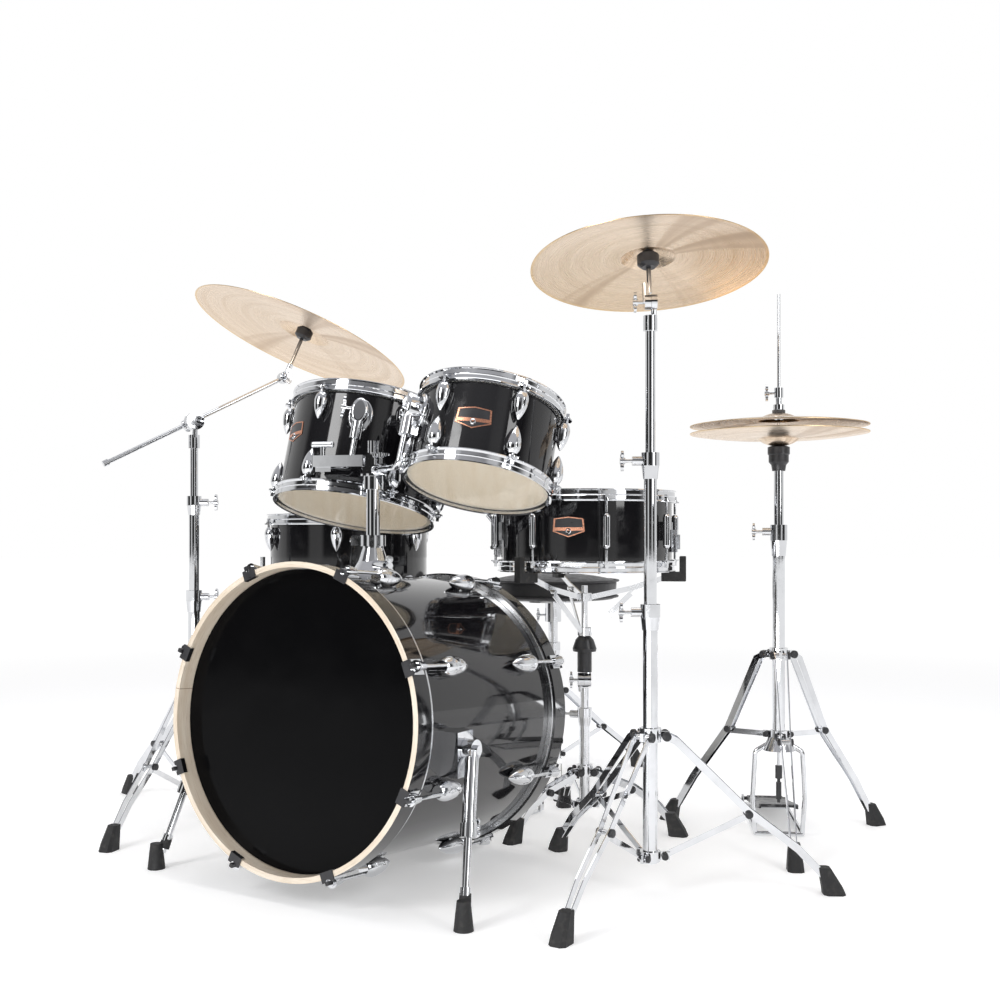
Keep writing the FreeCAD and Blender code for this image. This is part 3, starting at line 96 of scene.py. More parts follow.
BASS_LEAN = math.radians(4.1)
BASS_TURN = Matrix.Rotation(-math.pi / 2 - BASS_LEAN, 3, "X")
BASS = Round("bass_shell", turn=BASS_TURN)
HOOPS = Round("bass_hoops", turn=BASS_TURN)
FACE = HOOPS.point(0, 0, -HOOPS.half)          # middle of the bass drum's front face
TOMS = {
    "high_tom": Round("high_tom_shell", joint_axis("high_tom_swivel")),
    "mid_tom": Round("mid_tom_shell", joint_axis("mid_tom_swivel")),
    "floor_tom": Round("floor_tom_shell"),
    "snare": Round("snare_shell"),
}
CYMBALS = {
    "crash_cymbal": Round("crash_cymbal", leaning(-6.9, 8.7)),
    "ride_cymbal": Round("ride_cymbal", leaning(13.4, 19.5)),
    "hi_hat_top_cymbal": Round("hi_hat_top_cymbal"),
    "hi_hat_bottom_cymbal": Round("hi_hat_bottom_cymbal"),
}


def stand_foot(point):
    """The point on the floor below another point."""
    return Vector((point.x, point.y, 0))


HI_HAT_AT = stand_foot(Vector(MOUNTS["hi_hat_rod_end"]["pos_m"]))
# Tripods: middle, first foot's bearing, heights of the two hubs, tube radius and knee (out, up)
TRIPODS = {
    "crash_stand": (stand_foot(joint_point("crash_tilt")), -91.0, 0.268, 0.062, 0.0127, (0.166, 0.132)),
    "boom_stand": (stand_foot(joint_point("boom_raise")), -75.8, 0.268, 0.062, 0.0127, (0.166, 0.132)),
    "snare_stand": (stand_foot(joint_point("snare_basket_tilt")), 11.0, 0.119, 0.052, 0.011, (0.104, 0.084)),
    "throne": (stand_foot(joint_point("throne_swivel")), -58.0, 0.218, 0.056, 0.014, (0.150, 0.112)),
    "hi_hat": (HI_HAT_AT, 55.0, 0.369, 0.206, 0.0125, (0.108, 0.205)),
}


# ---------------------------------------------------------------- materials

class Look:
    """A node material being built on one Principled shader."""

    def __init__(self, name, color, roughness, metallic=0.0, **sockets):
        self.material = bpy.data.materials.new(name)
        self.material.use_nodes = True
        self.tree = self.material.node_tree
        self.shader = self.tree.nodes["Principled BSDF"]
        self.set("Base Color", (*color, 1))
        self.set("Roughness", roughness)
        self.set("Metallic", metallic)
        for socket, value in sockets.items():
            self.set(socket.replace("_", " "), value)
        self.place = self.node("ShaderNodeTexCoord").outputs["Object"]
        self.normal = None

    def set(self, socket, value):
        self.shader.inputs[socket].default_value = value

    def node(self, kind, **values):
        made = self.tree.nodes.new(kind)
        for key, value in values.items():
            setattr(made, key, value)
        return made

    def link(self, source, target):
        self.tree.links.new(source, target)

    def math(self, operation, first, second=0.0):
        made = self.node("ShaderNodeMath", operation=operation)
        for index, value in enumerate((first, second)):
            if isinstance(value, (int, float)):
                made.inputs[index].default_value = value
            else:
                self.link(value, made.inputs[index])
        return made.outputs[0]

    def noise(self, scale, detail=4.0, vector=None, roughness=0.55):
        made = self.node("ShaderNodeTexNoise")
        made.inputs["Scale"].default_value = scale
        made.inputs["Detail"].default_value = detail
        made.inputs["Roughness"].default_value = roughness
        self.link(vector or self.place, made.inputs["Vector"])
        return made.outputs["Fac"]

    def spread(self, source, low, high, start=0.3, end=0.7):
        """Maps a noise value onto a range of numbers."""
        made = self.node("ShaderNodeMapRange", interpolation_type="SMOOTHSTEP")
        for socket, value in (("From Min", start), ("From Max", end), ("To Min", low), ("To Max", high)):
            made.inputs[socket].default_value = value
        self.link(source, made.inputs["Value"])
        return made.outputs["Result"]

    def tint(self, source, first, second):
        """Colour that goes from first to second as source goes from 0 to 1."""
        made = self.node("ShaderNodeMix", data_type="RGBA")
        self.link(source, made.inputs[0])
        for index, value in ((6, first), (7, second)):
            if isinstance(value, tuple):
                made.inputs[index].default_value = (*value, 1)
            else:
                self.link(value, made.inputs[index])
        return made.outputs[2]

    def color(self, source):
        self.link(source, self.shader.inputs["Base Color"])

    def rough(self, source):
        self.link(source, self.shader.inputs["Roughness"])

    def bump(self, height, depth_mm, strength=1.0):
        made = self.node("ShaderNodeBump")
        made.inputs["Distance"].default_value = depth_mm * MM
        made.inputs["Strength"].default_value = strength
        self.link(height, made.inputs["Height"])
        if self.normal:
            self.link(self.normal, made.inputs["Normal"])
        self.normal = made.outputs["Normal"]
        self.link(self.normal, self.shader.inputs["Normal"])

    def polar(self, turn, centre):
        """(unit vector round the axis, distance from the axis, height) of the shaded point."""
        shift = self.node("ShaderNodeVectorMath", operation="SUBTRACT")
        self.link(self.place, shift.inputs[0])
        shift.inputs[1].default_value = centre
        parts = []
        for index in range(3):
            dot = self.node("ShaderNodeVectorMath", operation="DOT_PRODUCT")
            self.link(shift.outputs[0], dot.inputs[0])
            dot.inputs[1].default_value = turn.col[index]
            parts.append(dot.outputs["Value"])
        flat = self.node("ShaderNodeCombineXYZ")
        self.link(parts[0], flat.inputs[0])
        self.link(parts[1], flat.inputs[1])
        length = self.node("ShaderNodeVectorMath", operation="LENGTH")
        self.link(flat.outputs[0], length.inputs[0])
        around = self.node("ShaderNodeVectorMath", operation="NORMALIZE")
        self.link(flat.outputs[0], around.inputs[0])
        return around.outputs[0], length.outputs["Value"], parts[2]

    def scaled(self, vector, factor):
        made = self.node("ShaderNodeVectorMath", operation="SCALE")
        self.link(vector, made.inputs[0])
        made.inputs["Scale"].default_value = factor
        return made.outputs[0]

    def ring_noise(self, polar, along, across, detail=5.0):
        """Noise drawn out round an axis: it changes slowly along the ring and fast across it."""
        around, out, height = polar
        made = self.node("ShaderNodeTexNoise", noise_dimensions="4D")
        made.inputs["Scale"].default_value = 1.0
        made.inputs["Detail"].default_value = detail
        self.link(self.scaled(around, along), made.inputs["Vector"])
        self.link(self.math("MULTIPLY", self.math("ADD", out, height), across), made.inputs["W"])
        return made.outputs["Fac"]


def chrome_look(name="chrome", color=(0.74, 0.75, 0.77), low=0.035, high=0.11):
    """Plated steel: faint smudges, soft casting ripple and fine pits."""
    look = Look(name, color, low, metallic=1.0)
    smudge = look.noise(24.0, 6.0)
    look.rough(look.spread(smudge, low, high, 0.42, 0.72))
    dull = tuple(0.90 * c for c in color)
    look.color(look.tint(look.spread(smudge, 0.0, 1.0, 0.35, 0.75), color, dull))
    look.bump(look.noise(55.0, 2.0), 0.18, 0.10)
    look.bump(look.noise(1800.0, 2.0), 0.01, 0.25)
    return look.material


def lacquer_look():
    """Glossy black wrap: deep black with hairline swirls, a thin clear coat and a little orange peel."""
    look = Look("black_lacquer", (0.006, 0.006, 0.008), 0.10, Coat_Weight=0.65, Coat_Roughness=0.03,
                Specular_IOR_Level=0.25)
    cloud = look.noise(7.0, 5.0)
    look.color(look.tint(cloud, (0.0035, 0.0035, 0.0045), (0.011, 0.0105, 0.012)))
    look.rough(look.spread(look.noise(38.0, 6.0), 0.06, 0.20, 0.45, 0.78))
    look.bump(look.noise(130.0, 2.0), 0.05, 0.10)
    scratch = look.node("ShaderNodeTexVoronoi", feature="DISTANCE_TO_EDGE")
    scratch.inputs["Scale"].default_value = 70.0
    look.link(look.place, scratch.inputs["Vector"])
    hairline = look.spread(scratch.outputs["Distance"], 1.0, 0.0, 0.0, 0.006)
    look.bump(hairline, 0.004, 0.25)
    return look.material


def film_look(name, color, roughness, **sockets):
    """Drum head film: even colour, faint haze and very slight waviness."""
    look = Look(name, color, roughness, **sockets)
    look.rough(look.spread(look.noise(11.0, 5.0), roughness * 0.7, roughness * 1.8))
    look.color(look.tint(look.noise(5.0, 3.0), color, tuple(0.82 * c + 0.002 for c in color)))
    look.bump(look.noise(900.0, 2.0), 0.006, 0.25)
    look.bump(look.noise(6.0, 2.0), 0.4, 0.06)
    return look


def front_film_look():
    return film_look("front_head_film", (0.0022, 0.0022, 0.0026), 0.10, Specular_IOR_Level=0.06).material


def clear_film_look():
    return film_look("clear_head_film", (0.97, 0.94, 0.86), 0.07, Alpha=0.24).material


def coated_film_look():
    """Sprayed white batter head with a rougher face and stick marks."""
    look = film_look("coated_head_film", (0.80, 0.79, 0.76), 0.45)
    marks = look.spread(look.noise(160.0, 8.0, roughness=0.7), 0.0, 0.5, 0.60, 0.72)
    look.color(look.tint(marks, (0.82, 0.81, 0.78), (0.50, 0.49, 0.47)))
    look.bump(look.noise(1400.0, 3.0), 0.05, 0.6)
    return look.material


def hoop_wood_look():
    """Pale maple hoop: grain that runs round the ring, darker pores and the scarf joint's thin line."""
    look = Look("hoop_maple", (0.76, 0.66, 0.55), 0.34, Coat_Weight=0.35, Coat_Roughness=0.12)
    polar = look.polar(BASS_TURN, FACE)
    grain = look.ring_noise(polar, 9.0, 700.0)
    broad = look.ring_noise(polar, 2.2, 70.0, 3.0)
    base = look.tint(look.spread(broad, 0.0, 1.0), (0.83, 0.74, 0.62), (0.71, 0.60, 0.47))
    pores = look.spread(grain, 0.0, 0.55, 0.52, 0.70)
    wood = look.tint(pores, base, (0.52, 0.40, 0.28))
    seam = look.node("ShaderNodeVectorMath", operation="DOT_PRODUCT")
    look.link(polar[0], seam.inputs[0])
    seam.inputs[1].default_value = (0.0, 1.0, 0.0)
    left = look.node("ShaderNodeSeparateXYZ")
    look.link(polar[0], left.inputs[0])
    beside = look.math("ABSOLUTE", look.math("ADD", seam.outputs["Value"], SEAM_RISE))
    line = look.math("LESS_THAN", beside, SEAM_HALF)
    on_left = look.math("LESS_THAN", left.outputs[0], 0.0)
    look.color(look.tint(look.math("MULTIPLY", line, on_left), wood, (0.33, 0.22, 0.13)))
    look.rough(look.spread(grain, 0.28, 0.46))
    look.bump(grain, 0.06, 0.35)
    return look.material


SEAM_RISE = 0.14     # sine of the hoop joint's height round the ring
SEAM_HALF = 0.0022


def shell_wood_look():
    """Bare poplar inside a shell: cream ply with faint upright grain and small flecks."""
    look = Look("shell_poplar", (0.80, 0.69, 0.52), 0.5)
    stretch = look.node("ShaderNodeMapping")
    stretch.inputs["Scale"].default_value = (60.0, 60.0, 5.0)
    look.link(look.place, stretch.inputs["Vector"])
    grain = look.noise(1.0, 6.0, stretch.outputs[0])
    fleck = look.spread(look.noise(210.0, 3.0), 0.0, 0.35, 0.62, 0.75)
    base = look.tint(look.spread(grain, 0.0, 1.0), (0.96, 0.88, 0.73), (0.86, 0.74, 0.56))
    look.color(look.tint(fleck, base, (0.66, 0.51, 0.34)))
    look.rough(look.spread(grain, 0.42, 0.62))
    look.bump(grain, 0.08, 0.4)
    return look.material


def bronze_look(name, cymbal):
    """Lathed bronze: tonal grooves round the bell, a painted sheen of darker wedges round the axis (also a
    little rougher) and a few hammer dimples.
    """
    look = Look(name, (0.74, 0.62, 0.46), 0.27, metallic=1.0, Anisotropic=0.55)
    polar = look.polar(cymbal.turn, cymbal.centre)
    around, out = polar[:2]
    groove = look.ring_noise(polar, 0.7, 950.0, 6.0)
    band = look.ring_noise(polar, 0.25, 60.0, 2.0)
    # painted sheen: darker wedges by angle round the axis stand in for the lathed face's reflection
    painted_sheen_wedges = look.math("ADD", look.math("MULTIPLY", look.noise(1.7, 2.0, around), 0.85),
                    look.math("MULTIPLY", look.noise(9.0, 3.0, around), 0.15))
    base = look.tint(look.spread(band, 0.0, 1.0), (0.84, 0.69, 0.54), (0.75, 0.60, 0.45))
    # painted sheen: the base darkens to brown inside the wedges
    shade = look.tint(look.spread(painted_sheen_wedges, 0.0, 0.75, 0.50, 0.66), base, (0.54, 0.40, 0.28))
    edge = look.spread(out, 0.0, 0.6, cymbal.radius - 0.007, cymbal.radius - 0.001)
    look.color(look.tint(edge, shade, (0.80, 0.56, 0.27)))
    fan_rough = look.spread(painted_sheen_wedges, 0.0, 0.10, 0.50, 0.66)
    look.rough(look.math("ADD", fan_rough, look.spread(groove, 0.20, 0.34)))
    ridge = look.math("SINE", look.math("MULTIPLY", out, 2 * math.pi / GROOVE_PITCH))
    look.bump(look.math("ADD", look.math("MULTIPLY", ridge, 0.5), groove), 0.035, 0.55)
    look.bump(look.noise(28.0, 2.0), 0.45, 0.16)
    return look.material


GROOVE_PITCH = 0.0022


def rubber_look():
    """Moulded black rubber: dusty bloom, fine grain and scuffs."""
    look = Look("black_rubber", (0.016, 0.016, 0.017), 0.62)
    dust = look.noise(75.0, 7.0)
    bloom = look.spread(dust, 0.0, 1.0, 0.45, 0.8)
    look.color(look.tint(bloom, (0.012, 0.012, 0.013), (0.050, 0.048, 0.046)))
    look.rough(look.spread(dust, 0.50, 0.78))
    look.bump(look.noise(1300.0, 3.0), 0.03, 0.5)
    look.bump(look.noise(160.0, 3.0), 0.10, 0.3)
    return look.material


def plastic_look():
    """Moulded black nylon: low sheen with a fine spark-eroded texture."""
    color = (0.018, 0.018, 0.020)
    roughness = 0.34
    look = Look("black_nylon", color, roughness)
    cloud = look.noise(45.0, 4.0)
    look.color(look.tint(cloud, color, tuple(1.9 * c for c in color)))
    look.rough(look.spread(cloud, roughness * 0.8, roughness * 1.35))
    look.bump(look.noise(2200.0, 2.0), 0.02, 0.45)
    return look.material


def felt_look(name, color):
    """Pressed wool felt: tangled fibres and a soft sheen."""
    look = Look(name, color, 0.95, Sheen_Weight=0.4, Sheen_Roughness=0.6)
    fibre = look.noise(900.0, 8.0, roughness=0.75)
    dark, light = tuple(0.62 * c for c in color), tuple(1.25 * c for c in color)
    look.color(look.tint(look.spread(fibre, 0.0, 1.0), dark, light))
    look.bump(fibre, 0.45, 0.8)
    return look.material


def enamel_look():
    """Black powder-coated steel worn to bare metal along its edges."""
    look = Look("black_enamel", (0.02, 0.02, 0.022), 0.34)
    geometry = look.node("ShaderNodeNewGeometry")
    edge = look.spread(geometry.outputs["Pointiness"], 0.0, 1.0, 0.53, 0.60)
    worn = look.math("MULTIPLY", edge, look.spread(look.noise(120.0, 6.0), 0.0, 1.0, 0.48, 0.60))
    look.color(look.tint(worn, (0.018, 0.018, 0.020), (0.34, 0.34, 0.35)))
    look.rough(look.spread(look.noise(60.0, 5.0), 0.26, 0.48))
    look.bump(look.noise(1500.0, 2.0), 0.03, 0.5)
    return look.material


def vinyl_look():
    """Black leatherette: pebbled grain with creases."""
    look = Look("black_leatherette", (0.014, 0.014, 0.016), 0.42, Coat_Weight=0.15, Coat_Roughness=0.35)
    grain = look.node("ShaderNodeTexVoronoi")
    grain.inputs["Scale"].default_value = 620.0
    look.link(look.place, grain.inputs["Vector"])
    look.color(look.tint(look.noise(18.0, 5.0), (0.010, 0.010, 0.012), (0.028, 0.027, 0.029)))
    look.rough(look.spread(look.noise(90.0, 5.0), 0.34, 0.56))
    look.bump(grain.outputs["Distance"], 0.14, 0.55)
    look.bump(look.noise(60.0, 3.0), 0.3, 0.2)
    return look.material


def copper_look():
    """Brushed copper foil of the badges."""
    look = Look("badge_copper", (0.80, 0.38, 0.24), 0.28, metallic=1.0)
    brushed = look.noise(420.0, 5.0)
    look.color(look.tint(brushed, (0.86, 0.46, 0.31), (0.62, 0.25, 0.15)))
    look.rough(look.spread(brushed, 0.20, 0.42))
    look.bump(brushed, 0.01, 0.4)
    return look.material


CHROME = chrome_look()
WIRE = chrome_look("steel_wire", (0.60, 0.60, 0.62), 0.22, 0.38)
ALLOY = chrome_look("flesh_hoop_alloy", (0.72, 0.73, 0.75), 0.20, 0.34)
LACQUER = lacquer_look()
FRONT_FILM = front_film_look()
CLEAR_FILM = clear_film_look()
COATED_FILM = coated_film_look()
HOOP_WOOD = hoop_wood_look()
SHELL_WOOD = shell_wood_look()
RUBBER = rubber_look()
NYLON = plastic_look()
GREY_FELT = felt_look("grey_felt", (0.075, 0.075, 0.08))
BEATER_FELT = felt_look("beater_felt", (0.62, 0.60, 0.56))
ENAMEL = enamel_look()
VINYL = vinyl_look()
COPPER = copper_look()


def dress(node, material):
    frame["nodes"][node].material_slots[0].material = material


def paint(node, material, chosen):
    """Gives the faces of a CAD node that a rule picks a further material."""
    mesh = frame["nodes"][node].data
    index = len(mesh.materials)
    mesh.materials.append(material)
    for face in mesh.polygons:
        if chosen(face.center, face.normal):
            face.material_index = index


def dress_drums():
    for name, drum in TOMS.items():
        inside = drum.radius - 2 * MM
        shell = name + "_shell"
        dress(shell, LACQUER)
        paint(shell, SHELL_WOOD, lambda centre, normal: drum.local(centre)[0] < inside)
        heads = name + "_heads"
        dress(heads, CLEAR_FILM)
        paint(heads, ALLOY, lambda centre, normal: drum.local(centre)[0] > drum.radius + 1.5 * MM)
        if name == "snare":
            paint(heads, COATED_FILM, lambda centre, normal: drum.local(centre)[0] < drum.radius
                  and drum.local(centre)[1] > 0)
        dress(name + "_hoops", CHROME)
        dress(name + "_fittings", CHROME)


def dress_bass():
    inside = BASS.radius - 2 * MM
    dress("bass_shell", LACQUER)
    paint("bass_shell", SHELL_WOOD, lambda centre, normal: BASS.local(centre)[0] < inside)
    dress("bass_hoops", LACQUER)
    rim = HOOPS.radius - 0.5 * MM

    def bare(centre, normal):
        out, depth = HOOPS.local(centre)
        return depth < 0 and out < rim
    paint("bass_hoops", HOOP_WOOD, bare)
    for node, film in (("bass_front_head", FRONT_FILM), ("bass_batter_head", COATED_FILM)):
        dress(node, film)
        paint(node, ALLOY, lambda centre, normal: HOOPS.local(centre)[0] > BASS.radius + 1.5 * MM)
    for node in ("bass_lugs", "bass_claws", "bass_brackets"):
        dress(node, CHROME)
    face = HOOPS.half - 0.2 * MM
    paint("bass_claws", NYLON, lambda centre, normal: abs(HOOPS.local(centre)[1]) > face)


def dress_cymbals():
    for name, cymbal in CYMBALS.items():
        dress(name, bronze_look(name + "_bronze", cymbal))


def dress_stands():
    for node in ("crash_stand_tripod", "boom_stand_tripod", "snare_stand_tripod", "throne_tripod",
                 "hi_hat_frame", "floor_tom_legs", "kick_pedal_frame", "spur_right", "spur_left",
                 "tom_post", "tom_holder", "high_tom_arm", "mid_tom_arm", "snare_stand_tube",
                 "snare_basket", "throw_off_lever", "crash_stand_tube", "crash_tilter",
                 "boom_stand_tube", "boom_clamp", "boom_arm", "ride_tilter", "hi_hat_tube",
                 "hi_hat_rod", "kick_beater", "throne_post", "throne_seat_clamp"):
        dress(node, CHROME)
    dress("rubber_feet", RUBBER)
    dress("snare_grips", RUBBER)
    dress("snare_wires", WIRE)
    dress("throne_seat", VINYL)
    dress("hi_hat_footboard", ENAMEL)
    dress("kick_footboard", ENAMEL)
    for side in ("spur_right", "spur_left"):
        paint(side, RUBBER, lambda centre, normal: centre.z < SPUR_RUBBER)
    for tilter, cymbal in (("crash_tilter", "crash_cymbal"), ("ride_tilter", "ride_cymbal")):
        disc = CYMBALS[cymbal]

        def cup(centre, normal):
            out, height = disc.local(centre)
            return out < CUP_RADIUS and disc.half - CUP_DEPTH < height < disc.half + CUP_OVER

        def washer(centre, normal):
            out, height = disc.local(centre)
            return out < WASHER_RADIUS and disc.half < height < disc.half + WASHER_OVER
        paint(tilter, NYLON, cup)
        paint(tilter, GREY_FELT, washer)
    bell_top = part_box("hi_hat_top_cymbal")[1][2]
    paint("hi_hat_tube", NYLON, lambda centre, normal: centre.z > bell_top - HAT_SEAT_DROP)
    paint("hi_hat_rod", GREY_FELT, lambda centre, normal: beside(centre, HI_HAT_AT) > HAT_FELT_INNER
          and bell_top - HAT_FELT_UNDER < centre.z < bell_top + HAT_FELT_OVER)
    paint("hi_hat_rod", NYLON, lambda centre, normal: centre.z < HAT_LINK_TOP)
    low, high = SNARE_AT.z + SNARE_BOOT_LOW, SNARE_AT.z + SNARE_BOOT_HIGH
    paint("snare_basket", NYLON, lambda centre, normal: low < centre.z < high
          and beside(centre, SNARE_AT) < SNARE_BOOT_RADIUS)
    axle = joint_point("kick_beater_swing")
    paint("kick_beater", BEATER_FELT, lambda centre, normal: BEATER_NEAR < (centre - axle).length < BEATER_FAR
          and abs(centre.x - axle.x - BEATER_SIDE) <= BEATER_HALF and far_from_arm(centre, axle))


def beside(point, upright):
    """Level distance between a point and an upright line."""
    return math.hypot(point.x - upright.x, point.y - upright.y)


SPUR_RUBBER = 0.052      # top of a spur's rubber tip
CUP_RADIUS = 0.021       # the cup and stem sleeve under a cymbal, about its middle
CUP_DEPTH = 0.060
CUP_OVER = 0.002
WASHER_RADIUS = 0.015    # the felt washer on a cymbal
WASHER_OVER = 0.0105
HAT_SEAT_DROP = 0.125    # from the top hi-hat's bell down to the foot of the black seat cup
HAT_FELT_INNER = 0.007   # the clutch's felts, outside the rod
HAT_FELT_UNDER = 0.008
HAT_FELT_OVER = 0.0065
HAT_LINK_TOP = 0.150     # top of the black link under the pull rod
SNARE_AT = joint_point("snare_basket_tilt")
SNARE_BOOT_LOW = 0.016   # the black boot over the snare basket's tilter
SNARE_BOOT_HIGH = 0.093
SNARE_BOOT_RADIUS = 0.027
BEATER_NEAR = 0.115      # the beater's felt, from its axle
BEATER_FAR = 0.185
BEATER_ARM_RADIUS = 0.0035
BEATER_SIDE = 0.021      # from the axle joint's place across to the beater's middle
BEATER_HALF = 0.024


def far_from_arm(point, axle):
    """True off the beater's shaft, which leans back from upright."""
    lean = math.radians(38.0)
    along = Vector((0, math.sin(lean), math.cos(lean)))
    start = axle + Vector((BEATER_SIDE, 0, 0))
    offset = point - start
    return (offset - along * offset.dot(along)).length > BEATER_ARM_RADIUS


dress_drums()
dress_bass()
dress_cymbals()
dress_stands()


# ---------------------------------------------------------------- added pieces

BODY_OF = {node: body for body, nodes in frame["record"]["behaviour"]["bodies"].items()
           for node in nodes}


def lathe(shape, outline, at, axis, sides=32):
    """Adds a turned solid: (distance, height) points spun about an axis that starts at a place."""
    turn = UP.rotation_difference(axis).to_matrix()
    rings = []
    for out, height in outline:
        spots = [direction(360.0 * k / sides) * out + UP * height for k in range(sides if out else 1)]
        rings.append([shape.verts.new(at + turn @ spot) for spot in spots])
    for below, above in zip(rings, rings[1:]):
        for k in range(sides):
            corners = (below[k % len(below)], below[(k + 1) % sides % len(below)],
                       above[(k + 1) % sides % len(above)], above[k % len(above)])
            shape.faces.new(list(dict.fromkeys(corners)))


def plate(faces, low, high):
    """Flat plate from faces of (u, v) points, between two lifts."""
    shape = bmesh.new()
    for face in faces:
        shape.faces.new([shape.verts.new((u, v, low)) for u, v in face])
    bmesh.ops.remove_doubles(shape, verts=shape.verts[:], dist=0.01 * MM)
    raised = bmesh.ops.extrude_face_region(shape, geom=shape.faces[:])
    for vertex in raised["geom"]:
        if isinstance(vertex, bmesh.types.BMVert):
            vertex.co.z = high
    return shape


def wrap(shape, drum, bearing, height, step):
    """Bends a flat piece round a drum's shell, its middle at a bearing and a height."""
    reach = max(abs(vertex.co.x) for vertex in shape.verts)
    cuts = int(reach / step)
    for k in range(-cuts, cuts + 1):
        everything = shape.verts[:] + shape.edges[:] + shape.faces[:]
        bmesh.ops.bisect_plane(shape, geom=everything, dist=0.001 * MM,
                               plane_co=(k * step, 0, 0), plane_no=(1, 0, 0))
    for vertex in shape.verts:
        u, v, lift = vertex.co
        vertex.co = drum.point(bearing + math.degrees(u / drum.radius), drum.radius + lift, height + v)


def piece(name, shape, material, node, smooth=True):
    """Makes an object of a finished mesh with the given material; it rides on the node's body."""
    bmesh.ops.recalc_face_normals(shape, faces=shape.faces[:])
    mesh = bpy.data.meshes.new(name)
    shape.to_mesh(mesh)
    shape.free()
    mesh.materials.append(material)
    obj = bpy.data.objects.new(name, mesh)
    bpy.context.collection.objects.link(obj)
    if smooth:
        mesh.shade_smooth()
        mesh.set_sharp_from_angle(angle=math.radians(35.0))
    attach(obj, BODY_OF[node])
    return obj


BADGE_WIDTH = 64 * MM
BADGE_HEIGHT = 40 * MM
BADGE_BORDER = 0.90      # inner edge of the badge's border, as a part of its outline
BADGE_STEP = 4 * MM      # between the cuts that let a badge bend round its shell
VENT_RADIUS = 5.5 * MM
# Node that carries each badge, and the badge's bearing and height on the drum
BADGES = {
    "high_tom": ("high_tom_fittings", -68.0, -4 * MM),
    "mid_tom": ("mid_tom_fittings", -117.0, 14 * MM),
    "snare": ("snare_fittings", -74.0, 8 * MM),
}
VENT_DROP = 0.2          # how far the vent is below the badge's middle, as a part of its height
# (distance as a part of the vent's radius, lift over the shell) round the grommet's section
GROMMET = ((0.55, 0.6), (0.55, 2.0), (0.75, 2.6), (1.0, 2.0), (1.1, 0.6), (0.55, 0.6))
# black disc in the grommet, painted shade for the open vent: (distance as a part of the vent's radius, lift
# over the shell)
VENT_SHADE_DISC = ((0, 0.5), (0.56, 0.5), (0.56, 0.8), (0, 0.8))


def build_badge(name, node, bearing, height):
    """Shield badge without lettering: black backing, copper border and band, and the air vent's grommet round
    a black disc that is painted shade for the open vent.
    """
    drum = TOMS[name]
    corners = ((-0.46, 0.42), (0, 0.5), (0.46, 0.42), (0.5, -0.22), (0, -0.5), (-0.5, -0.22))
    outer = [(u * BADGE_WIDTH, v * BADGE_HEIGHT) for u, v in corners]
    inner = [(u * BADGE_BORDER, v * BADGE_BORDER) for u, v in outer]
    backing = plate([outer], 0.05 * MM, 0.6 * MM)
    border = plate([(outer[k], outer[(k + 1) % 6], inner[(k + 1) % 6], inner[k]) for k in range(6)],
                   0.5 * MM, 1.1 * MM)
    side, low, high = 0.45 * BADGE_WIDTH, -0.18 * BADGE_HEIGHT, -0.02 * BADGE_HEIGHT
    band = plate([((-side, low), (side, low), (side, high), (-side, high))], 0.5 * MM, 1.0 * MM)
    layers = (("backing", backing, NYLON), ("border", border, COPPER), ("band", band, COPPER))
    for part, shape, material in layers:
        wrap(shape, drum, bearing, height, BADGE_STEP)
        piece(f"{name}_badge_{part}", shape, material, node, smooth=False)
    level = height - VENT_DROP * BADGE_HEIGHT
    vent = drum.point(bearing, drum.radius, level)
    out = (vent - drum.point(bearing, 0, level)).normalized()
    grommet = bmesh.new()
    lathe(grommet, [(part * VENT_RADIUS, lift * MM) for part, lift in GROMMET], vent, out)
    bmesh.ops.remove_doubles(grommet, verts=grommet.verts[:], dist=0.01 * MM)
    piece(f"{name}_vent", grommet, CHROME, node)
    # painted shade: a black rubber disc stands in for the dark of the open vent
    painted_shade_disc = bmesh.new()
    lathe(painted_shade_disc, [(part * VENT_RADIUS, lift * MM) for part, lift in VENT_SHADE_DISC], vent, out)
    piece(f"{name}_vent_painted_shade", painted_shade_disc, RUBBER, node)


CAP_OUTLINE = ((0, -0.5), (1, -0.5), (1, 0.30), (0.86, 0.52), (0.5, 0.62), (0.42, 0.5), (0, 0.5))
# Node that carries each stand's joint caps
CAPPED = {"crash_stand": "crash_stand_tripod", "boom_stand": "boom_stand_tripod",
          "snare_stand": "snare_stand_tripod", "throne": "throne_tripod", "hi_hat": "hi_hat_frame"}
# (half the pin's length, cap radius, cap depth) at the upper hub, the lower hub and the knee
HUB_CAP = (16.5 * MM, 8.0 * MM, 6 * MM)
LOW_CAP = (8.0 * MM, 6.0 * MM, 5 * MM)
KNEE_CAP = (12.5 * MM, 7.0 * MM, 5 * MM)
# How far the pins are outside the tube at the hubs, and over the knee
HUB_PIN_OUT = 14 * MM
LOW_PIN_OUT = 12 * MM
KNEE_PIN_UP = 4 * MM


def build_joint_caps():
    """Black nylon washers with a rivet's dimple on both ends of every leg pin."""
    for stand, (middle, first, hub, low, tube, knee) in TRIPODS.items():
        caps = bmesh.new()
        spots = (((tube + HUB_PIN_OUT, hub), HUB_CAP), ((tube + LOW_PIN_OUT, low), LOW_CAP),
                 ((knee[0], knee[1] + KNEE_PIN_UP), KNEE_CAP))
        for k in range(3):
            along, across = direction(first + 120.0 * k), direction(first + 120.0 * k + 90.0)
            for (out, height), (half, radius, depth) in spots:
                for side in (-1, 1):
                    at = middle + along * out + UP * height + across * side * half
                    outline = [(radius * r, depth * h) for r, h in CAP_OUTLINE]
                    lathe(caps, outline, at, across * side, 20)
        piece(stand + "_joint_caps", caps, NYLON, CAPPED[stand])


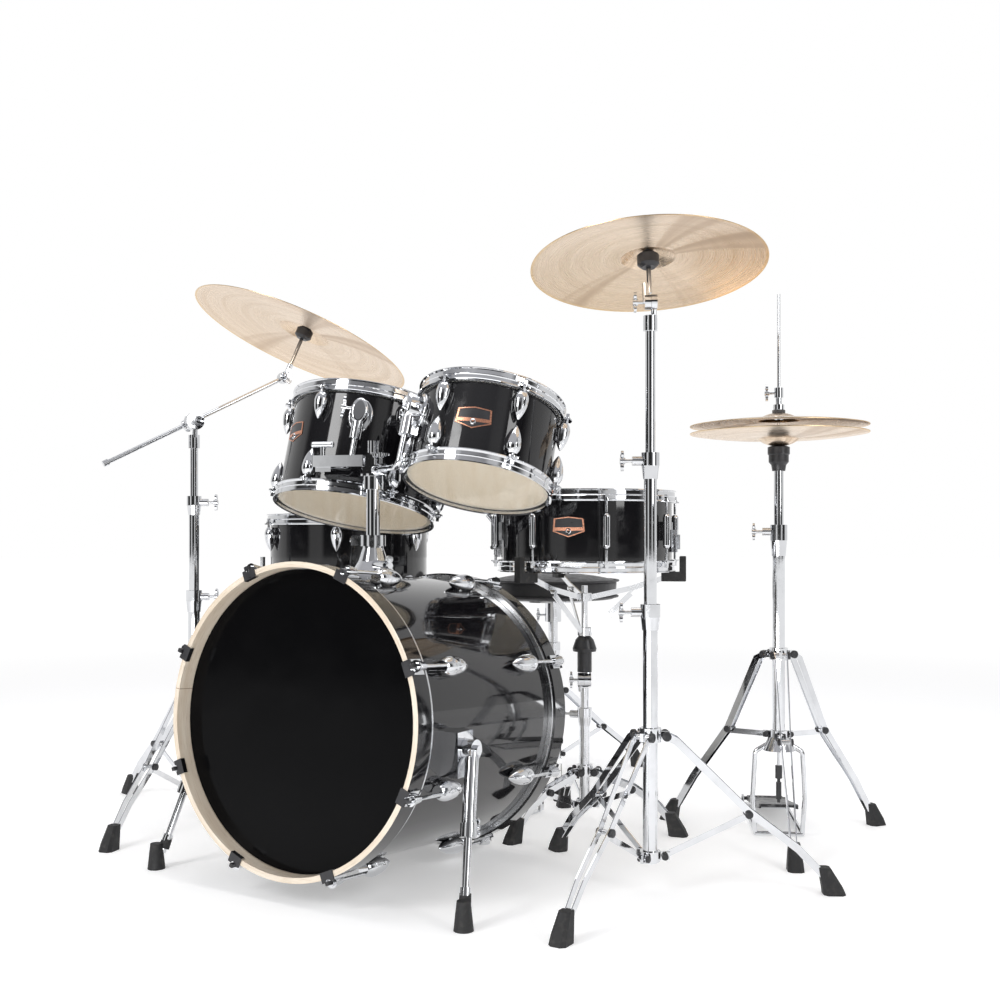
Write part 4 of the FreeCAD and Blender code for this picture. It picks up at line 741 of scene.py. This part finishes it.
SEAT = Round("throne_seat")
SEAT_SHRINK = 0.972      # the cushion before it is blown up to full size
SEAT_FRAMES = 20
SEAT_PRESSURE = 4.0
SEAT_SIDES = 96
SEAT_LIMIT = 1.004       # widest the cushion may be, as a part of the CAD seat's radius
WELT_RADIUS = 2.6 * MM
# Name, height over the seat's middle as a part of its half height, and radius as a part of the seat's
WELTS = (("throne_welt_top", 0.45, 0.995), ("throne_welt_low", -0.7, 0.985))


def seat_outline(radius, half):
    """(distance, height) points from the bottom's middle round the crowned side to the top's middle."""
    bottom, rim = -half, 0.45 * half
    points = [(0, bottom)]
    points += [(radius * 0.9 * k / 8, bottom) for k in range(1, 9)]
    side = bottom + 0.3 * half
    points += [(radius * 0.97, bottom + 0.08 * half), (radius * 0.985, side)]
    points += [(radius * (0.985 + 0.015 * k / 5), side + (rim - side) * k / 5) for k in range(1, 6)]
    for k in range(1, 15):
        turn = k / 14
        crown = math.sin(turn * math.pi / 2) ** 0.8
        points.append((radius * (1 - turn) if turn < 1 else 0, rim + (half - rim) * crown))
    return points


def build_seat():
    """Round cushion: a flat-bottomed drum, blown up as cloth, then held inside the CAD seat's size."""
    shape = bmesh.new()
    lathe(shape, seat_outline(SEAT.radius * SEAT_SHRINK, SEAT.half * 0.94), SEAT.centre, UP, SEAT_SIDES)
    seat = piece("throne_cushion", shape, VINYL, "throne_seat")
    fixed = seat.vertex_groups.new(name="fixed")
    level = SEAT.centre.z - 0.5 * SEAT.half
    fixed.add([vertex.index for vertex in seat.data.vertices if vertex.co.z < level], 1.0, "REPLACE")
    cloth = seat.modifiers.new("cloth", "CLOTH")
    cloth.settings.vertex_group_mass = "fixed"
    cloth.settings.use_pressure = True
    cloth.settings.uniform_pressure_force = SEAT_PRESSURE
    cloth.settings.tension_stiffness = 60.0
    cloth.settings.compression_stiffness = 60.0
    cloth.settings.effector_weights.gravity = 0.0
    for number in range(1, SEAT_FRAMES + 1):
        bpy.context.scene.frame_set(number)
    evaluated = seat.evaluated_get(bpy.context.evaluated_depsgraph_get())
    blown = bpy.data.meshes.new_from_object(evaluated)
    seat.modifiers.clear()
    seat.data = blown
    bpy.context.scene.frame_set(1)
    for vertex in seat.data.vertices:
        offset = vertex.co - SEAT.centre
        flat = Vector((offset.x, offset.y, 0))
        if flat.length > SEAT.radius * SEAT_LIMIT:
            flat *= SEAT.radius * SEAT_LIMIT / flat.length
        offset.z = max(-SEAT.half, min(SEAT.half * 1.02, offset.z))
        vertex.co = SEAT.centre + flat + UP * offset.z
    seat.data.shade_smooth()
    smooth = seat.modifiers.new("smooth", "SUBSURF")
    smooth.levels = 1
    smooth.render_levels = 1
    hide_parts("throne_seat")
    for name, height, out in WELTS:
        welt = bmesh.new()
        at = SEAT.centre + UP * (height * SEAT.half)
        section = [direction(angle) * WELT_RADIUS for angle in range(0, 361, 30)]
        outline = [(SEAT.radius * out + spot.x, spot.y) for spot in section]
        lathe(welt, outline, at, UP, SEAT_SIDES)
        bmesh.ops.remove_doubles(welt, verts=welt.verts[:], dist=0.01 * MM)
        piece(name, welt, VINYL, "throne_seat")


for badge, (badge_node, badge_bearing, badge_height) in BADGES.items():
    build_badge(badge, badge_node, badge_bearing, badge_height)
build_joint_caps()
build_seat()


# ---------------------------------------------------------------- studio

CAMERA_PLACE = FACE + Vector((1.3485, -1.5394, 0.6105 - FACE.z))
CAMERA_BEARING = 31.23   # degrees that the camera turns from +Y towards -X


def build_camera():
    data = bpy.data.cameras.new("camera")
    data.sensor_width = 36.0
    data.lens = 43.45
    data.shift_y = 0.0349
    data.clip_end = 100.0
    camera = bpy.data.objects.new("camera", data)
    camera.location = CAMERA_PLACE
    camera.rotation_euler = (math.pi / 2, 0, math.radians(CAMERA_BEARING))
    bpy.context.collection.objects.link(camera)
    bpy.context.scene.camera = camera


FADE_START = 1.3         # how far out the floor's painted glow starts to brighten it, and where it is as white as the backdrop
FADE_END = 5.0


def build_floor():
    """Wide pale floor with a painted glow, weaker near the kit and growing outwards, so that it fades into
    the backdrop's white.
    """
    mesh = bpy.data.meshes.new("floor")
    shape = bmesh.new()
    bmesh.ops.create_circle(shape, cap_ends=True, segments=96, radius=30.0)
    shape.to_mesh(mesh)
    shape.free()
    floor = bpy.data.objects.new("floor", mesh)
    bpy.context.collection.objects.link(floor)
    look = Look("floor_paper", (0.88, 0.88, 0.88), 0.9, Specular_IOR_Level=0.1)
    look.set("Emission Color", (1, 1, 1, 1))
    length = look.node("ShaderNodeVectorMath", operation="LENGTH")
    look.link(look.place, length.inputs[0])
    far = look.spread(length.outputs["Value"], 0.0, 1.0, FADE_START, FADE_END)
    look.link(look.tint(far, (0.88, 0.88, 0.88), (0.0, 0.0, 0.0)), look.shader.inputs["Base Color"])
    # painted glow: the floor emits light, about a third of full near the kit and full white far out
    glow = look.spread(length.outputs["Value"], 0.34, 1.0, FADE_START, FADE_END)
    look.link(glow, look.shader.inputs["Emission Strength"])
    mesh.materials.append(look.material)


def build_world():
    world = bpy.data.worlds.new("studio")
    bpy.context.scene.world = world
    world.use_nodes = True
    tree = world.node_tree
    background = tree.nodes["Background"]
    output = tree.nodes["World Output"]
    place = tree.nodes.new("ShaderNodeTexCoord")
    split = tree.nodes.new("ShaderNodeSeparateXYZ")
    tree.links.new(place.outputs["Generated"], split.inputs[0])
    angle = tree.nodes.new("ShaderNodeMath")
    angle.operation = "ARCTAN2"
    tree.links.new(split.outputs[1], angle.inputs[0])
    tree.links.new(split.outputs[0], angle.inputs[1])
    turn = tree.nodes.new("ShaderNodeMapRange")
    turn.inputs["From Min"].default_value = -math.pi
    turn.inputs["From Max"].default_value = math.pi
    tree.links.new(angle.outputs[0], turn.inputs["Value"])
    boxes = tree.nodes.new("ShaderNodeValToRGB")
    ramp = boxes.color_ramp
    ramp.interpolation = "EASE"
    # (part of a turn from -X, brightness): front is 0.25, the hi-hat side 0.5, behind 0.75
    stops = ((0.0, 0.80), (0.06, 0.70), (0.09, 0.03), (0.18, 0.02), (0.20, 0.75), (0.24, 0.80), (0.26, 0.04),
             (0.37, 0.02), (0.40, 0.65), (0.43, 0.70), (0.45, 0.03), (0.52, 0.03), (0.58, 0.80), (1.0, 0.80))
    ramp.elements[0].position = stops[0][0]
    ramp.elements[1].position = stops[-1][0]
    for spot, value in stops[1:-1]:
        ramp.elements.new(spot)
    for element, (spot, value) in zip(ramp.elements, stops):
        element.color = (value, value, value, 1)
    tree.links.new(turn.outputs["Result"], boxes.inputs["Fac"])
    lift = tree.nodes.new("ShaderNodeMapRange")
    lift.interpolation_type = "SMOOTHSTEP"
    for socket, value in (("From Min", 0.35), ("From Max", 0.75), ("To Min", 0.0), ("To Max", 1.0)):
        lift.inputs[socket].default_value = value
    tree.links.new(split.outputs[2], lift.inputs["Value"])
    sky = tree.nodes.new("ShaderNodeMix")
    sky.data_type = "RGBA"
    sky.inputs[7].default_value = (0.50, 0.50, 0.52, 1)
    tree.links.new(lift.outputs["Result"], sky.inputs[0])
    tree.links.new(boxes.outputs["Color"], sky.inputs[6])
    tree.links.new(sky.outputs[2], background.inputs["Color"])
    background.inputs["Strength"].default_value = 1.0
    white = tree.nodes.new("ShaderNodeBackground")
    white.inputs["Color"].default_value = (1, 1, 1, 1)
    path = tree.nodes.new("ShaderNodeLightPath")
    mix = tree.nodes.new("ShaderNodeMixShader")
    tree.links.new(path.outputs["Is Camera Ray"], mix.inputs[0])
    tree.links.new(background.outputs[0], mix.inputs[1])
    tree.links.new(white.outputs[0], mix.inputs[2])
    tree.links.new(mix.outputs[0], output.inputs["Surface"])


def soft_light(name, place, target, width, height, watts):
    data = bpy.data.lights.new(name, "AREA")
    data.shape = "RECTANGLE"
    data.size = width
    data.size_y = height
    data.energy = watts
    light = bpy.data.objects.new(name, data)
    light.location = place
    light.rotation_euler = (Vector(target) - Vector(place)).to_track_quat("-Z", "Y").to_euler()
    light.visible_camera = False
    bpy.context.collection.objects.link(light)


def build_studio():
    build_camera()
    build_floor()
    build_world()
    soft_light("key_box", (-0.7, -3.4, 2.4), (0, 0, 0.6), 1.0, 1.6, 42)
    soft_light("fill_box", (3.0, -0.9, 1.6), (0, 0, 0.7), 0.6, 1.8, 20)
    soft_light("top_box", (0.0, 0.2, 3.2), (0, 0, 0.5), 2.4, 2.4, 38)
    soft_light("low_box", (0.5, -2.4, 0.15), (0.0, 0.3, 1.0), 1.8, 0.25, 12)
    bpy.context.scene.view_settings.view_transform = "Standard"


build_studio()
